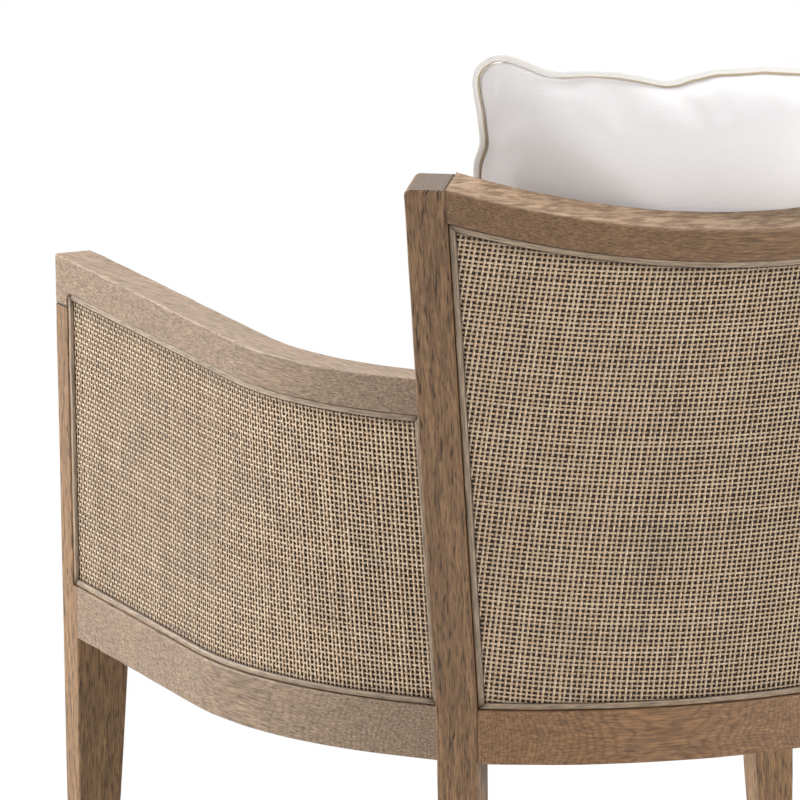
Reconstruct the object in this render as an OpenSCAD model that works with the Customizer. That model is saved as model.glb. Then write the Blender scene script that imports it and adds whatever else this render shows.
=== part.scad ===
// Occasional chair: an oak barrel frame with cane panels and two loose cushions.
// The chair faces -Y, stands on Z = 0 and is symmetric about X = 0.
// Inside the modules Y = 0 is the rear face of the front legs; place() then
// moves every piece so that the origin is under the middle of the chair.

/* [Overall sizes] */
// Width across the outer faces of the front legs
front_w = 658; // [600:1:720]
// From the rear face of the front legs to the outer face of the back rail
seat_depth = 617; // [580:1:650]
// Height of the underside of the seat rails
rail_z = 290; // [250:1:320]
// Height of the top of the arms at the front
arm_z = 607; // [585:1:630]
// Drop of the arms from the front to the rear posts
arm_drop = 5; // [0:1:14]
// Height of the crest rail's rear top edge in the middle of the back
crest_z = 718; // [690:1:745]
// How much higher the rear posts stand than the middle of the crest
crest_dip = 39; // [20:1:50]

/* [Barrel shape] */
// Radius of the outer face of the back rail
back_r = 378; // [365:1:400]
// Angle of the rear posts round the back, from the middle
post_angle = 37.5; // [34:0.5:40]
// Outward lean of the back above the seat rails
lean = 11; // [8:0.5:13]
// Outward splay of the sides from front to back
splay = 1.5; // [0:0.5:3]
// Direction in which the sides run into the rear posts
side_end_angle = 38; // [33:0.5:40]
// Straight run of the side rail before the rear post
rail_lead = 32; // [20:1:60]
// Straight run of the arm before the rear post
arm_lead = 7; // [2:1:20]
// Set-back of the arms and side rails from the outer face of the rear posts
side_setback = 7; // [4:1:9]

/* [Legs and posts] */
// Width of the front legs at the seat rails
leg_w = 47; // [42:1:52]
// Depth of the front legs at the seat rails
leg_d = 31.5; // [28:0.5:36]
// Step of the front legs' rear faces above the seat rails, where the cane panels start
leg_step = 8; // [4:1:10]
// Width of the front legs at the floor
foot_w = 27; // [24:1:34]
// Depth of the front legs at the floor
foot_d = 24; // [20:1:30]
// Width of the rear posts
post_w = 32.5; // [30:0.5:36]
// Depth of the rear posts
post_d = 35.5; // [34:0.5:40]
// Depth of the rear legs at the floor
rear_foot_d = 28; // [24:1:34]
// Radius of the bend where the rear posts start to lean
post_bend_r = 260; // [150:10:400]
// Height of the felt glides under the legs
glide_h = 3; // [2:0.5:6]

/* [Rails] */
// Height of the seat rails
rail_h = 43; // [38:1:48]
// Thickness of the seat rails
rail_t = 24; // [22:1:27]
// Width of the arms
arm_w = 32; // [30:1:38]
// Thickness of the arms
arm_t = 29; // [26:0.5:34]
// Depth of the elbow below the underside of the arm
elbow_drop = 12; // [8:1:20]
// Radius of the fillet in the elbow, under the arm
elbow_r = 8; // [4:1:10]
// Depth of the crest rail from front to back
crest_d = 41; // [36:1:44]
// Height of the crest rail
crest_h = 26; // [22:1:30]
// Set-back of the front rail from the front face of the legs
front_rail_back = 4; // [2:1:6]
// Thickness of the front rail's lip, which hides the webbing and the deck pad
front_lip = 10; // [8:1:12]

/* [Cane panels] */
// Width and thickness of the bead strips round the panels
bead = 6; // [5:0.5:8]
// Depth of the beads below the outer face of the frame
bead_back = 2; // [1:0.5:3]
// Depth of the cane below the outer face of the frame
cane_back = 3.5; // [3:0.5:4.5]
// Thickness of the woven cane
cane_t = 1.5; // [1:0.1:2]
// Thickness of the lining board behind the cane
lining_t = 4; // [3:0.5:5]

/* [Seat] */
// Width of the webbing straps
strap_w = 50; // [40:1:60]
// Thickness of the webbing straps
strap_t = 2; // [1.5:0.1:2.5]
// Thickness of the deck pad over the webbing
deck_t = 6; // [4:0.5:8]
// Thickness of the dust cover under the seat
dust_t = 1; // [0.8:0.1:1.5]
// Leg length of the corner blocks
block_l = 62; // [54:1:68]
// Height of the corner blocks
block_h = 34; // [28:1:36]
// Diameter of the wooden dowels in the joints
dowel_d = 8; // [6:1:10]
// How far a dowel reaches into each piece
dowel_l = 16; // [12:1:16]
// Diameter of the screws through the corner blocks
screw_d = 4.5; // [4:0.5:5]
// Length of the screws through the corner blocks
screw_l = 30; // [28:1:32]

/* [Cushions] */
// Height of the seat cushion's boxed side
seat_box = 98; // [80:1:115]
// Crown of the seat cushion above its top seam
seat_crown = 24; // [10:1:32]
// Width of the back cushion over its seam
back_cushion_w = 416; // [400:1:430]
// Height of the back cushion over its corners, along its slope
back_cushion_h = 396; // [380:1:410]
// Depth of the back cushion in front of its seam
back_front = 110; // [98:1:116]
// Depth of the back cushion behind its seam
back_rear = 56; // [50:1:60]
// Share of the crest's curve that the back cushion follows
back_bend = 1; // [0.94:0.02:1]
// Share by which the back cushion's edges are drawn in between its corners
edge_pull = 0.045; // [0.03:0.005:0.06]
// Share of the back cushion's depth that is lost towards its corners
corner_thin = 0.88; // [0.8:0.02:0.9]
// Thickness of the piping in the cushion seams
piping_d = 8; // [6:0.5:9]
// Depth by which the boxed sides pull in between the seams
side_pull = 6; // [3:0.5:9]
// Clearance round a cushion
soft_gap = 0.4; // [0.3:0.1:1]

/* [Hidden] */

left = 1;
right = -1;
oak = [0.69, 0.58, 0.46];
dark_oak = [0.52, 0.41, 0.31];
straw = [0.74, 0.64, 0.49];
linen = [0.93, 0.92, 0.90];
fine = 180;
big = 2000;

half_w = front_w / 2;
rail_top = rail_z + rail_h;
arc_y = seat_depth - back_r;
function lean_out(z) = tan(lean) * max(z - rail_top, 0);
function back_radius(z) = back_r + lean_out(z);

// Crest: an arc in a plane that leans with the back, as high as the posts at its ends
post_top = crest_z + crest_dip;
joint_r = back_radius(post_top);
joint_x = -post_w / 2 * cos(post_angle) + joint_r * sin(post_angle);
joint_y = arc_y + post_w / 2 * sin(post_angle) + joint_r * cos(post_angle);
crest_y = arc_y + back_radius(crest_z);
crest_rise = crest_dip * cos(lean) - (crest_y - joint_y) * sin(lean);
crest_r = (pow(joint_x, 2) + pow(crest_rise, 2)) / (2 * crest_rise);
joint_angle = atan2(joint_x, joint_y - arc_y);
function crest_edge(a) = crest_z + crest_dip * (1 - cos(a)) / (1 - cos(joint_angle));
mid_y = (crest_y - leg_d) / 2;

// Arm planes fall evenly from the front to the rear posts
arm_run = seat_depth;
function arm_top(y) = arm_z - arm_drop * y / arm_run;
elbow_z = arm_z - arm_t - elbow_drop;

// A side path starts at the front leg, runs straight, bends once and runs straight to the post
function post_point(out) = [
    post_w / 2 * cos(post_angle) + (back_r - side_setback + out) * sin(post_angle),
    arc_y - post_w / 2 * sin(post_angle) + (back_r - side_setback + out) * cos(post_angle)];
turn = splay + side_end_angle;
function side_path(out, lead) = let (
    d = post_point(out) - [half_w, 0],
    s = (d.x * cos(side_end_angle) + d.y * sin(side_end_angle)) / sin(turn),
    t = (sin(splay) * d.y - cos(splay) * d.x) / sin(turn),
    r = (t - lead) / tan(turn / 2))
    [s - (t - lead), r, lead];
arm_mid_z = arm_z - arm_drop - arm_t / 2;
rail_path = side_path(0, rail_lead);
arm_path = side_path(lean_out(arm_mid_z), arm_lead);

// Point on a side path at the fraction u of its length, set in by t
function path_length(p) = p[0] + p[1] * turn * PI / 180 + p[2];
function path_local(p, s, t) = let (arc = p[1] * turn * PI / 180, c = p[1] - t)
    s < p[0] ? [-t, s]
    : s < p[0] + arc ? let (a = (s - p[0]) / p[1] * 180 / PI)
        [c * cos(a) - p[1], p[0] + c * sin(a)]
    : let (e = s - p[0] - arc)
        [c * cos(turn) - p[1] - e * sin(turn), p[0] + c * sin(turn) + e * cos(turn)];
function path_point(p, u, t) = let (q = path_local(p, u * path_length(p), t))
    [half_w + q.x * cos(splay) + q.y * sin(splay), q.y * cos(splay) - q.x * sin(splay)];

// Line at the depth t behind the outer face of the side rail, at a given Y
bend_c = [half_w + rail_path[0] * sin(splay) - rail_path[1] * cos(splay),
    rail_path[0] * cos(splay) + rail_path[1] * sin(splay)];
function rail_x(y, t) = y < rail_path[0] * cos(splay) ? half_w + y * tan(splay) - t / cos(splay)
    : bend_c.x + sqrt(pow(rail_path[1] - t, 2) - pow(y - bend_c.y, 2));

module place() {
    translate([0, -mid_y, 0]) children();
}

// side = 1 is the sitter's left, at +X
module on_side(side) {
    mirror([side == left ? 0 : 1, 0, 0]) children();
}

// Frame of a rear post: local +Y runs outwards along its lean, local X across its face
module at_post() {
    translate([0, arc_y, 0]) rotate(-post_angle) children();
}

// Room that the two rear posts take, out to the far side; inner = true keeps the back clear
module post_room(inner) {
    at_post() translate([inner ? -post_w / 2 : post_w / 2 - big, back_r / 2, -1])
        cube([big, big, big]);
}

// Flat band along a side path between two depths, run on past both ends
module side_band(p, t0, t1) {
    run_on = 30;
    lap = 0.2;
    translate([half_w, 0]) rotate(-splay) {
        translate([-t1, -run_on]) square([t1 - t0, p[0] + run_on + lap]);
        translate([-p[1], p[0]]) {
            intersection() {
                difference() {
                    circle(r = p[1] - t0, $fn = 2 * fine);
                    circle(r = p[1] - t1, $fn = 2 * fine);
                }
                polygon([[0, 0], [2 * p[1], 0], 2 * p[1] * [cos(turn), sin(turn)]]);
            }
            rotate(turn) translate([p[1] - t1, -lap]) square([t1 - t0, p[2] + run_on + lap]);
        }
    }
}

// Keeps what lies behind the plane Y = front and in front of the rear post of one side
module side_trim(front, elbow = false) {
    difference() {
        children();
        translate([0, front - big, -1]) cube([big, big, big]);
        post_room(false);
        if (elbow) elbow_block();
    }
}

// Slab between two depths below the top of the arms, falling with them
module arm_slab(d0, d1) {
    y0 = -2 * leg_d;
    y1 = seat_depth + leg_d;
    rotate([90, 0, 90]) linear_extrude(big) polygon([
        [y0, arm_top(y0) - d1], [y1, arm_top(y1) - d1],
        [y1, arm_top(y1) - d0], [y0, arm_top(y0) - d0]]);
}

// Conical shell of the leaning back between two depths, as wide as the posts allow
module back_shell(t0, t1, z0, z1) {
    in0 = t0 / cos(lean);
    in1 = t1 / cos(lean);
    reach = post_angle + 4;
    difference() {
        translate([0, arc_y, 0]) rotate(90 - reach)
            rotate_extrude(angle = 2 * reach, $fn = 2 * fine) polygon([
                [back_radius(z0) - in1, z0], [back_radius(z0) - in0, z0],
                [back_radius(z1) - in0, z1], [back_radius(z1) - in1, z1]]);
        for (side = [left, right]) on_side(side) post_room(true);
    }
}

// Round bar across the back whose lower side is the curve of the crest
module crest_disc(grow) {
    translate([0, crest_y, crest_z]) rotate([-lean, 0, 0]) translate([0, 0, crest_r])
        rotate([90, 0, 0]) cylinder(h = 2 * back_r, r = crest_r + grow, center = true, $fn = 4 * fine);
}

// Closed strip swept through a list of four-cornered sections
module strip(sections) {
    n = len(sections);
    pts = [for (s = sections) each s];
    walls = [for (i = [0 : n - 2], j = [0 : 3]) let (k = (j + 1) % 4)
        each [[4 * i + j, 4 * i + k, 4 * i + 4 + j], [4 * i + k, 4 * i + 4 + k, 4 * i + 4 + j]]];
    last = 4 * (n - 1);
    ends = [[2, 1, 0], [3, 2, 0], [last, last + 1, last + 2], [last, last + 2, last + 3]];
    polyhedron(pts, concat(walls, ends));
}

// Twisted panel between the side rail and the arm, between two depths, from the front leg's step
module side_sheet(t0, t1, z0) {
    n = 30;
    under = arm_t;
    side_trim(-leg_step, elbow = true) strip([for (i = [-1 : n + 2]) let (u = i / n,
        a0 = path_point(rail_path, u, t0), a1 = path_point(rail_path, u, t1),
        b0 = path_point(arm_path, u, t0), b1 = path_point(arm_path, u, t1))
        [[a1.x, a1.y, z0], [a0.x, a0.y, z0],
         [b0.x, b0.y, arm_top(b0.y) - under], [b1.x, b1.y, arm_top(b1.y) - under]]]);
}

// Wooden dowels of one side, each drawn along local Z from its middle
module dowel() {
    cylinder(h = 2 * dowel_l, d = dowel_d, center = true, $fn = 24);
}

dowel_rows = [rail_z + rail_h * 0.3, rail_z + rail_h * 0.7];
rail_mid = rail_t / 2;

module seat_dowel_set() {
    for (z = dowel_rows) {
        translate([half_w - bead_back - rail_mid + 1, 0, z]) rotate([90, 0, 0]) dowel();
        translate([half_w - leg_w, -leg_d + front_rail_back + rail_mid, z]) rotate([0, 90, 0]) dowel();
        at_post() {
            translate([post_w / 2, back_r - side_setback - rail_mid - 3, z]) rotate([0, 90, 0]) dowel();
            translate([-post_w / 2, back_r - rail_mid - 1, z]) rotate([0, 90, 0]) dowel();
        }
    }
}

module arm_dowel_set() {
    translate([half_w - arm_w / 2, -(leg_d + leg_step) / 2, elbow_z]) dowel();
    at_post() translate([post_w / 2,
        back_r - side_setback + lean_out(arm_mid_z) - arm_w / 2 - 1, arm_mid_z])
        rotate([0, 90, 0]) dowel();
}

module crest_dowel_set() {
    drop = crest_h / 2;
    at_post() translate([-post_w / 2,
        joint_r - crest_d / 2 * cos(lean) - drop * sin(lean),
        post_top + crest_d / 2 * sin(lean) - drop * cos(lean)])
        rotate([0, 90, 0]) dowel();
}

// Corner blocks of one side sit where the front and side rails meet and behind the rear post
block_z = rail_top - block_h - 3;
screw_z = block_z + block_h / 2;
front_corner = [half_w - rail_t, front_rail_back - leg_d + rail_t];
rear_block_in = 26;

// Places of one side's screws, each along local Z from the top of its head
module at_corner_screws() {
    along = block_l * 0.62;
    under = 15;
    translate([front_corner.x, front_corner.y, screw_z]) {
        translate([-along, under, 0]) rotate([90, 0, 0]) children();
        translate([-under, along, 0]) rotate([0, 90, 0]) children();
    }
    at_post() translate([0, back_r - post_d, screw_z]) for (a = [[-1, 8, -4], [1, -16, -13]])
        translate([a[0] * block_l * 0.55, a[2], 0]) rotate(a[1]) rotate([-90, 0, 0]) children();
}

module corner_screw_set() {
    at_corner_screws() {
        union() {
            cylinder(h = 3, d = 1.9 * screw_d, $fn = 24);
            cylinder(h = screw_l, d = screw_d, $fn = 24);
        }
    }
}

module screw_wells() {
    at_corner_screws() translate([0, 0, -block_l]) cylinder(h = block_l + 3, d = 2.3 * screw_d, $fn = 24);
}

// Front leg: tapered below the rails on its inner and rear faces, stepped and slimmer above them
module front_leg(side) {
    color(oak) place() on_side(side) difference() {
        intersection() {
            translate([0, 1, 0]) rotate([90, 0, 0]) linear_extrude(2 * leg_d) polygon([
                [half_w, glide_h], [half_w, elbow_z], [half_w - arm_w, elbow_z],
                [half_w - leg_w, rail_top], [half_w - leg_w, rail_z],
                [half_w - foot_w, glide_h]]);
            rotate([90, 0, 90]) linear_extrude(big) polygon([
                [-leg_d, glide_h], [foot_d - leg_d, glide_h], [0, rail_z], [0, rail_top],
                [-leg_step, rail_top], [-leg_step, elbow_z], [-leg_d, elbow_z]]);
        }
        seat_dowel_set();
        arm_dowel_set();
    }
}

module front_leg_left() { front_leg(left); }
module front_leg_right() { front_leg(right); }

// Side profile of a rear post in its leaning plane, with a bent outer and inner line
module rear_post_profile() {
    foot_y = back_r - (post_d - rear_foot_d) / 2;
    top_y = back_radius(post_top);
    bend_tan = post_bend_r * tan(lean / 2);
    bend_c_y = back_r + post_bend_r;
    inner_r = post_bend_r + post_d;
    arc = [for (i = [0 : 4]) lean * i / 4];
    polygon(concat(
        [[foot_y, glide_h], [back_r, rail_z - 12]],
        [for (a = arc) [bend_c_y - post_bend_r * cos(a), rail_top - bend_tan + post_bend_r * sin(a)]],
        [[top_y, post_top], [top_y - post_d * cos(lean), post_top + post_d * sin(lean)]],
        [for (i = [4 : -1 : 0]) let (a = lean * i / 4)
            [bend_c_y - inner_r * cos(a), rail_top - bend_tan + inner_r * sin(a)]],
        [[back_r - post_d, rail_z - 12], [foot_y - rear_foot_d, glide_h]]));
}

// Rear leg and post in one piece, square in section, leaning back above the seat
module rear_post(side) {
    color(dark_oak) place() on_side(side) difference() {
        at_post() rotate([90, 0, 90]) linear_extrude(post_w, center = true) rear_post_profile();
        seat_dowel_set();
        arm_dowel_set();
        crest_dowel_set();
    }
}

module rear_post_left() { rear_post(left); }
module rear_post_right() { rear_post(right); }

// Turned-down end of an arm, with a fillet between it and the underside of the arm
module elbow_block() {
    under = arm_top(-leg_step) - arm_t;
    translate([half_w - arm_w, 0, 0]) rotate([90, 0, 90]) linear_extrude(arm_w) polygon(concat(
        [[0, under], [0, 2 * arm_z], [-leg_d, 2 * arm_z], [-leg_d, elbow_z], [-leg_step, elbow_z]],
        [for (a = [0 : 15 : 90]) [elbow_r * (1 - cos(a)) - leg_step, under - elbow_r * (1 - sin(a))]]));
}

// Arm: a bent rail with a turned-down front end that stands on the front leg
module arm(side) {
    color(oak) place() on_side(side) difference() {
        union() {
            side_trim(0) intersection() {
                translate([0, 0, rail_top]) linear_extrude(big) side_band(arm_path, 0, arm_w);
                arm_slab(0, arm_t);
            }
            intersection() {
                elbow_block();
                arm_slab(0, big / 4);
            }
        }
        arm_dowel_set();
    }
}

module arm_left() { arm(left); }
module arm_right() { arm(right); }

// Space over the crest: its floor runs square to the lean from the dipping rear top edge
module crest_over() {
    reach = post_angle + 6;
    out = crest_h;
    up = 3 * crest_d;
    strip([for (a = [reach : -reach / 24 : -reach - 0.01]) let (z = crest_edge(a), r = back_radius(z))
        [for (q = [[crest_d + up, 0], [-out, 0], [-out, up], [crest_d + up, up]])
            let (d = r - q[0] * cos(lean) + q[1] * sin(lean))
                [d * sin(a), arc_y + d * cos(a), z + q[0] * sin(lean) + q[1] * cos(lean)]]]);
}

// Crest rail: a piece of the leaning back that dips in the middle
module crest_rail() {
    color(dark_oak) place() difference() {
        intersection() {
            back_shell(0, crest_d, crest_z - 3 * crest_h, post_top + crest_d);
            crest_disc(crest_h);
        }
        crest_over();
        for (side = [left, right]) on_side(side) crest_dowel_set();
    }
}

// Curved seat rail under the back
module back_rail() {
    color(dark_oak) place() difference() {
        translate([0, arc_y, rail_z]) rotate(90 - post_angle - 4)
            rotate_extrude(angle = 2 * post_angle + 8, $fn = 2 * fine)
                translate([back_r - rail_t, 0]) square([rail_t, rail_h]);
        for (side = [left, right]) on_side(side) {
            post_room(true);
            seat_dowel_set();
            corner_screw_set();
        }
    }
}

// Bent seat rail under one side
module side_rail(side) {
    color(oak) place() on_side(side) difference() {
        side_trim(0) translate([0, 0, rail_z]) linear_extrude(rail_h)
            side_band(rail_path, 0, rail_t);
        seat_dowel_set();
        corner_screw_set();
    }
}

module side_rail_left() { side_rail(left); }
module side_rail_right() { side_rail(right); }

// Straight seat rail between the front legs, with a lip as high as the deck pad
deck_z = rail_top + 2 * strap_t;
deck_top = deck_z + deck_t;
front_face = front_rail_back - leg_d;

module front_rail() {
    color(oak) place() difference() {
        translate([leg_w - half_w, front_face, 0]) rotate([90, 0, 90])
            linear_extrude(front_w - 2 * leg_w) polygon([
                [0, rail_z], [rail_t, rail_z], [rail_t, rail_top],
                [front_lip, rail_top], [front_lip, deck_top], [0, deck_top]]);
        for (side = [left, right]) on_side(side) {
            seat_dowel_set();
            corner_screw_set();
        }
    }
}

// Sheet in the leaning back, from the back rail up to the crest
module back_sheet(t0, t1) {
    difference() {
        back_shell(t0, t1, rail_top, post_top);
        crest_disc(crest_h);
    }
}

module back_cane() {
    color(straw) place() back_sheet(cane_back, cane_back + cane_t);
}

module side_cane_left() { side_cane(left); }
module side_cane_right() { side_cane(right); }
module side_cane(side) {
    color(straw) place() on_side(side) side_sheet(cane_back, cane_back + cane_t, rail_top);
}

// Lining boards behind the cane, which the cushions lean on
lining_back = cane_back + cane_t;

module back_lining() {
    color(dark_oak) place() back_sheet(lining_back, lining_back + lining_t);
}

module side_lining_left() { side_lining(left); }
module side_lining_right() { side_lining(right); }
module side_lining(side) {
    color(dark_oak) place() on_side(side) side_sheet(lining_back, lining_back + lining_t, rail_top);
}

// Beads lie over the edges of the cane, outside it, all round each panel
bead_t = cane_back - bead_back;

module back_beads() {
    color(oak) place() difference() {
        back_sheet(bead_back, cane_back);
        difference() {
            intersection() {
                translate([-big / 2, 0, rail_top + bead]) cube(big);
                on_side(left) inside_post(bead);
                on_side(right) inside_post(bead);
            }
            crest_disc(crest_h + bead);
        }
    }
}

// Everything on the back's side of one rear post, from a distance beside it
module inside_post(gap) {
    at_post() translate([-post_w / 2 - gap - big, -big / 2, 0]) cube(big);
}

module side_beads_left() { side_beads(left); }
module side_beads_right() { side_beads(right); }
module side_beads(side) {
    color(oak) place() on_side(side) difference() {
        side_sheet(bead_back, cane_back, rail_top);
        intersection() {
            translate([0, bead - leg_step, rail_top + bead]) cube([big, big, big]);
            arm_slab(arm_t + bead, big / 4);
            at_post() translate([post_w / 2 + bead, -big, 0]) cube([big, 2 * big, big]);
        }
    }
}

// Blocks glued and screwed into the corners of the seat frame
module front_corner_blocks() {
    color(straw) place() for (side = [left, right]) on_side(side) difference() {
        translate([front_corner.x, front_corner.y, block_z]) linear_extrude(block_h) polygon([
            [0, 0], [-block_l, 0], [-block_l, 10], [-10, block_l], [0, block_l]]);
        translate([half_w - leg_w, -leg_d, 0]) cube([leg_w, leg_d, big]);
        linear_extrude(big) side_band(rail_path, 0, rail_t);
        corner_screw_set();
        screw_wells();
    }
}

module rear_corner_blocks() {
    half = block_l * 0.8;
    color(straw) place() for (side = [left, right]) on_side(side) difference() {
        at_post() translate([0, back_r - post_d, block_z]) linear_extrude(block_h) polygon([
            [-half, 20], [-half, -8], [-14, -rear_block_in], [14, -rear_block_in],
            [half, -8], [half, 20]]);
        at_post() translate([-post_w / 2, back_r - post_d, 0]) cube([post_w, 2 * post_d, big]);
        linear_extrude(big) side_band(rail_path, 0, rail_t);
        translate([0, arc_y, 0]) difference() {
            cylinder(h = big, r = 2 * back_r, $fn = fine);
            translate([0, 0, -1]) cylinder(h = big + 2, r = back_r - rail_t, $fn = 2 * fine);
        }
        corner_screw_set();
        screw_wells();
    }
}

module corner_screws() {
    color("silver") place() for (side = [left, right]) on_side(side) corner_screw_set();
}

module seat_dowels() {
    color(straw) place() for (side = [left, right]) on_side(side) seat_dowel_set();
}

module arm_dowels() {
    color(straw) place() for (side = [left, right]) on_side(side) arm_dowel_set();
}

module crest_dowels() {
    color(straw) place() for (side = [left, right]) on_side(side) crest_dowel_set();
}

// Webbing: straps tacked to the tops of the rails, inside the lining boards
lip_gap = 0.5;
seat_in = lining_back + lining_t + lip_gap;
strap_pitch = 2 * strap_w;

module webbing_lengthwise() {
    y0 = front_face + front_lip + lip_gap;
    color("dimgray") place() for (i = [-1.5 : 1 : 1.5]) {
        x = i * strap_pitch;
        edge = abs(x) + strap_w / 2;
        y1 = arc_y + sqrt(pow(back_r - seat_in, 2) - pow(edge, 2));
        translate([x - strap_w / 2, y0, rail_top]) cube([strap_w, y1 - y0, strap_t]);
    }
}

module webbing_crosswise() {
    step = 2 * strap_w * 0.45;
    color("dimgray") place() for (i = [0 : 3]) {
        y = 95 + i * strap_pitch * 1.05;
        half = min(rail_x(y - strap_w / 2, seat_in), rail_x(y + strap_w / 2, seat_in));
        flat = 1.5 * strap_pitch + strap_w / 2;
        translate([0, y + strap_w / 2, rail_top]) rotate([90, 0, 0]) linear_extrude(strap_w)
            polygon(concat([[-half, 0], [-flat - step * 0.2, 0], [-flat, strap_t], [flat, strap_t]],
                [[flat + step * 0.2, 0], [half, 0], [half, strap_t], [flat + step * 0.2, strap_t]],
                [[flat, 2 * strap_t], [-flat, 2 * strap_t], [-flat - step * 0.2, strap_t]],
                [[-half, strap_t]]));
    }
}

// Plan of the space inside the rails, set in by t from their outer faces
function seat_half(t) = concat(
    [for (u = [0 : 0.04 : 1]) path_point(rail_path, u, t)],
    [for (a = [post_angle - 4 : -post_angle / 10 : 0]) (back_r - t) * [sin(a), cos(a)] + [0, arc_y]]);
function seat_plan(t, front) = let (h = seat_half(t), n = len(h)) concat(
    [[h[0].x, front]], h, [for (i = [n - 1 : -1 : 0]) [-h[i].x, h[i].y]], [[-h[0].x, front]]);

module corner_room(gap) {
    for (side = [left, right]) on_side(side) {
        at_post() translate([-post_w / 2 - gap, back_r - post_d - gap, 0])
            cube([post_w + 2 * gap, 3 * post_d, big]);
        translate([half_w - leg_w - gap, -leg_d - gap, 0])
            cube([leg_w + 2 * gap, leg_d + 2 * gap, big]);
    }
}

// Felt pad that covers the webbing under the loose seat cushion
module deck_pad() {
    color("gainsboro") place() difference() {
        translate([0, 0, deck_z]) linear_extrude(deck_t)
            polygon(seat_plan(seat_in, front_face + front_lip + lip_gap));
        corner_room(lip_gap);
    }
}

// Black cloth stapled under the seat rails
module dust_cover() {
    color("black") place() difference() {
        translate([0, 0, rail_z - dust_t]) linear_extrude(dust_t)
            polygon(seat_plan(rail_t / 2, front_face + rail_t / 2));
        corner_room(lip_gap);
    }
}

module floor_glides() {
    inset = 3;
    color("dimgray") place() for (side = [left, right]) on_side(side) {
        translate([half_w - foot_w + inset, inset - leg_d, 0])
            cube([foot_w - 2 * inset, foot_d - 2 * inset, glide_h]);
        at_post() translate([inset - post_w / 2,
            back_r - (post_d - rear_foot_d) / 2 - rear_foot_d + inset, 0])
            cube([post_w - 2 * inset, rear_foot_d - 2 * inset, glide_h]);
    }
}

// A cushion is a stack of rings round a middle axis, each the seam line drawn in or out.
// Its seam line in polar form is a blend of straight edges [normal angle, distance] at power p.
function rim(edges, p, a) = pow([for (e = edges) pow(max(cos(a - e[0]), 0) / e[1], p)]
    * [for (e = edges) 1], -1 / p);

// Height of the crown at a share of the way from the middle to the seam
function crown_at(share, crown) = crown * (1 - pow(min(share, 1), 2.4));

// Rings [share of the rim, set-in from the rim, height] of a boxed cushion: crown, welt and side
function boxed_face(box, crown) = concat(
    [for (s = [0.2, 0.42, 0.62, 0.78, 0.9]) [s, 0, box / 2 + piping_d * 0.2 + crown_at(s, crown)]],
    [[1, piping_d * 0.55, box / 2 + piping_d * 0.15], [1, 0, box / 2 + piping_d * 0.25],
     [1, -piping_d * 0.35, box / 2 - piping_d * 0.2], [1, 0, box / 2 - piping_d * 0.65]]);
function flip(rings) = [for (i = [len(rings) - 1 : -1 : 0]) [rings[i][0], rings[i][1], -rings[i][2]]];

// Rings of a knife-edge cushion: a full face that drops steeply to the round piping in its one seam
function face_depth(share, depth) = depth * (1 - 0.1 * pow(share, 2)) * pow(1 - pow(share, 7), 0.37);
function knife_face(depth) = concat(
    [for (s = [0.4, 0.65, 0.8, 0.9, 0.96, 0.99]) [s, 0, face_depth(s, depth)]],
    [for (a = [130, 80, 35]) [1, -piping_d / 2 * cos(a), piping_d / 2 * sin(a)]]);

// bend = 1 curves it as much as the inner face of the crest
barrel_r = back_radius(crest_z) - crest_d / cos(lean);

// up and down are its two halves' rings, tips their middles, pull draws in its edges' middles
module cushion(up, seam, down, tips, edges, p, sides, bend = 0, pull = 0, thin = 0) {
    rings = concat(up, [seam], flip(down));
    n = len(rings);
    pts = concat([for (r = rings, j = [0 : sides - 1]) let (a = 360 * j / sides,
            d = rim(edges, p, a) * (1 - pull * pow(cos(2 * a), 2)) * r[0] - r[1], x = d * cos(a),
            h = r[2] * (r[0] < 1 ? 1 - thin * pow(r[0], 3) * pow(sin(2 * a), 2) : 1))
            [x, d * sin(a), h + bend * (barrel_r - sqrt(pow(barrel_r, 2) - pow(x, 2)))]],
        [[0, 0, tips[0]], [0, 0, -tips[1]]]);
    walls = [for (i = [0 : n - 2], j = [0 : sides - 1]) let (k = (j + 1) % sides)
        each [[sides * i + j, sides * i + k, sides * i + sides + j],
            [sides * i + k, sides * i + sides + k, sides * i + sides + j]]];
    caps = [for (j = [0 : sides - 1]) let (k = (j + 1) % sides, b = sides * (n - 1))
        each [[sides * n, k, j], [sides * n + 1, b + j, b + k]]];
    polyhedron(pts, concat(walls, caps));
}

// Seat cushion: fills the barrel between the arms, its front tongue between the front legs
seat_mid = 262;
cushion_gap = 3;
seat_edges = let (
    side_d = (half_w - arm_w + seat_mid * tan(splay)) * cos(splay) - piping_d / 2 - cushion_gap,
    back_d = back_r - post_d - piping_d / 2 - cushion_gap, back_off = arc_y - seat_mid) concat(
    [[-90, seat_mid + leg_d - 2 - piping_d / 2], [-splay, side_d], [180 + splay, side_d]],
    [for (a = [22, 50, 70, 90, 110, 130, 158]) [a, back_d + back_off * sin(a)]]);
seat_floor = deck_top + soft_gap;
seat_half_h = seat_box / 2 + piping_d * 0.25;

module seat_cushion() {
    color(linen) place() difference() {
        translate([0, seat_mid, seat_floor + seat_half_h])
            cushion(boxed_face(seat_box, seat_crown), [1, side_pull, 0], boxed_face(seat_box, 0),
                [seat_box / 2 + piping_d * 0.2 + seat_crown, seat_box / 2 + piping_d * 0.2], seat_edges, 24, 56);
        for (side = [left, right]) on_side(side)
            translate([half_w - leg_w - cushion_gap, -leg_d - cushion_gap, 0])
                cube([leg_w + cushion_gap, leg_d + 2 * cushion_gap, big]);
    }
}

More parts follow.
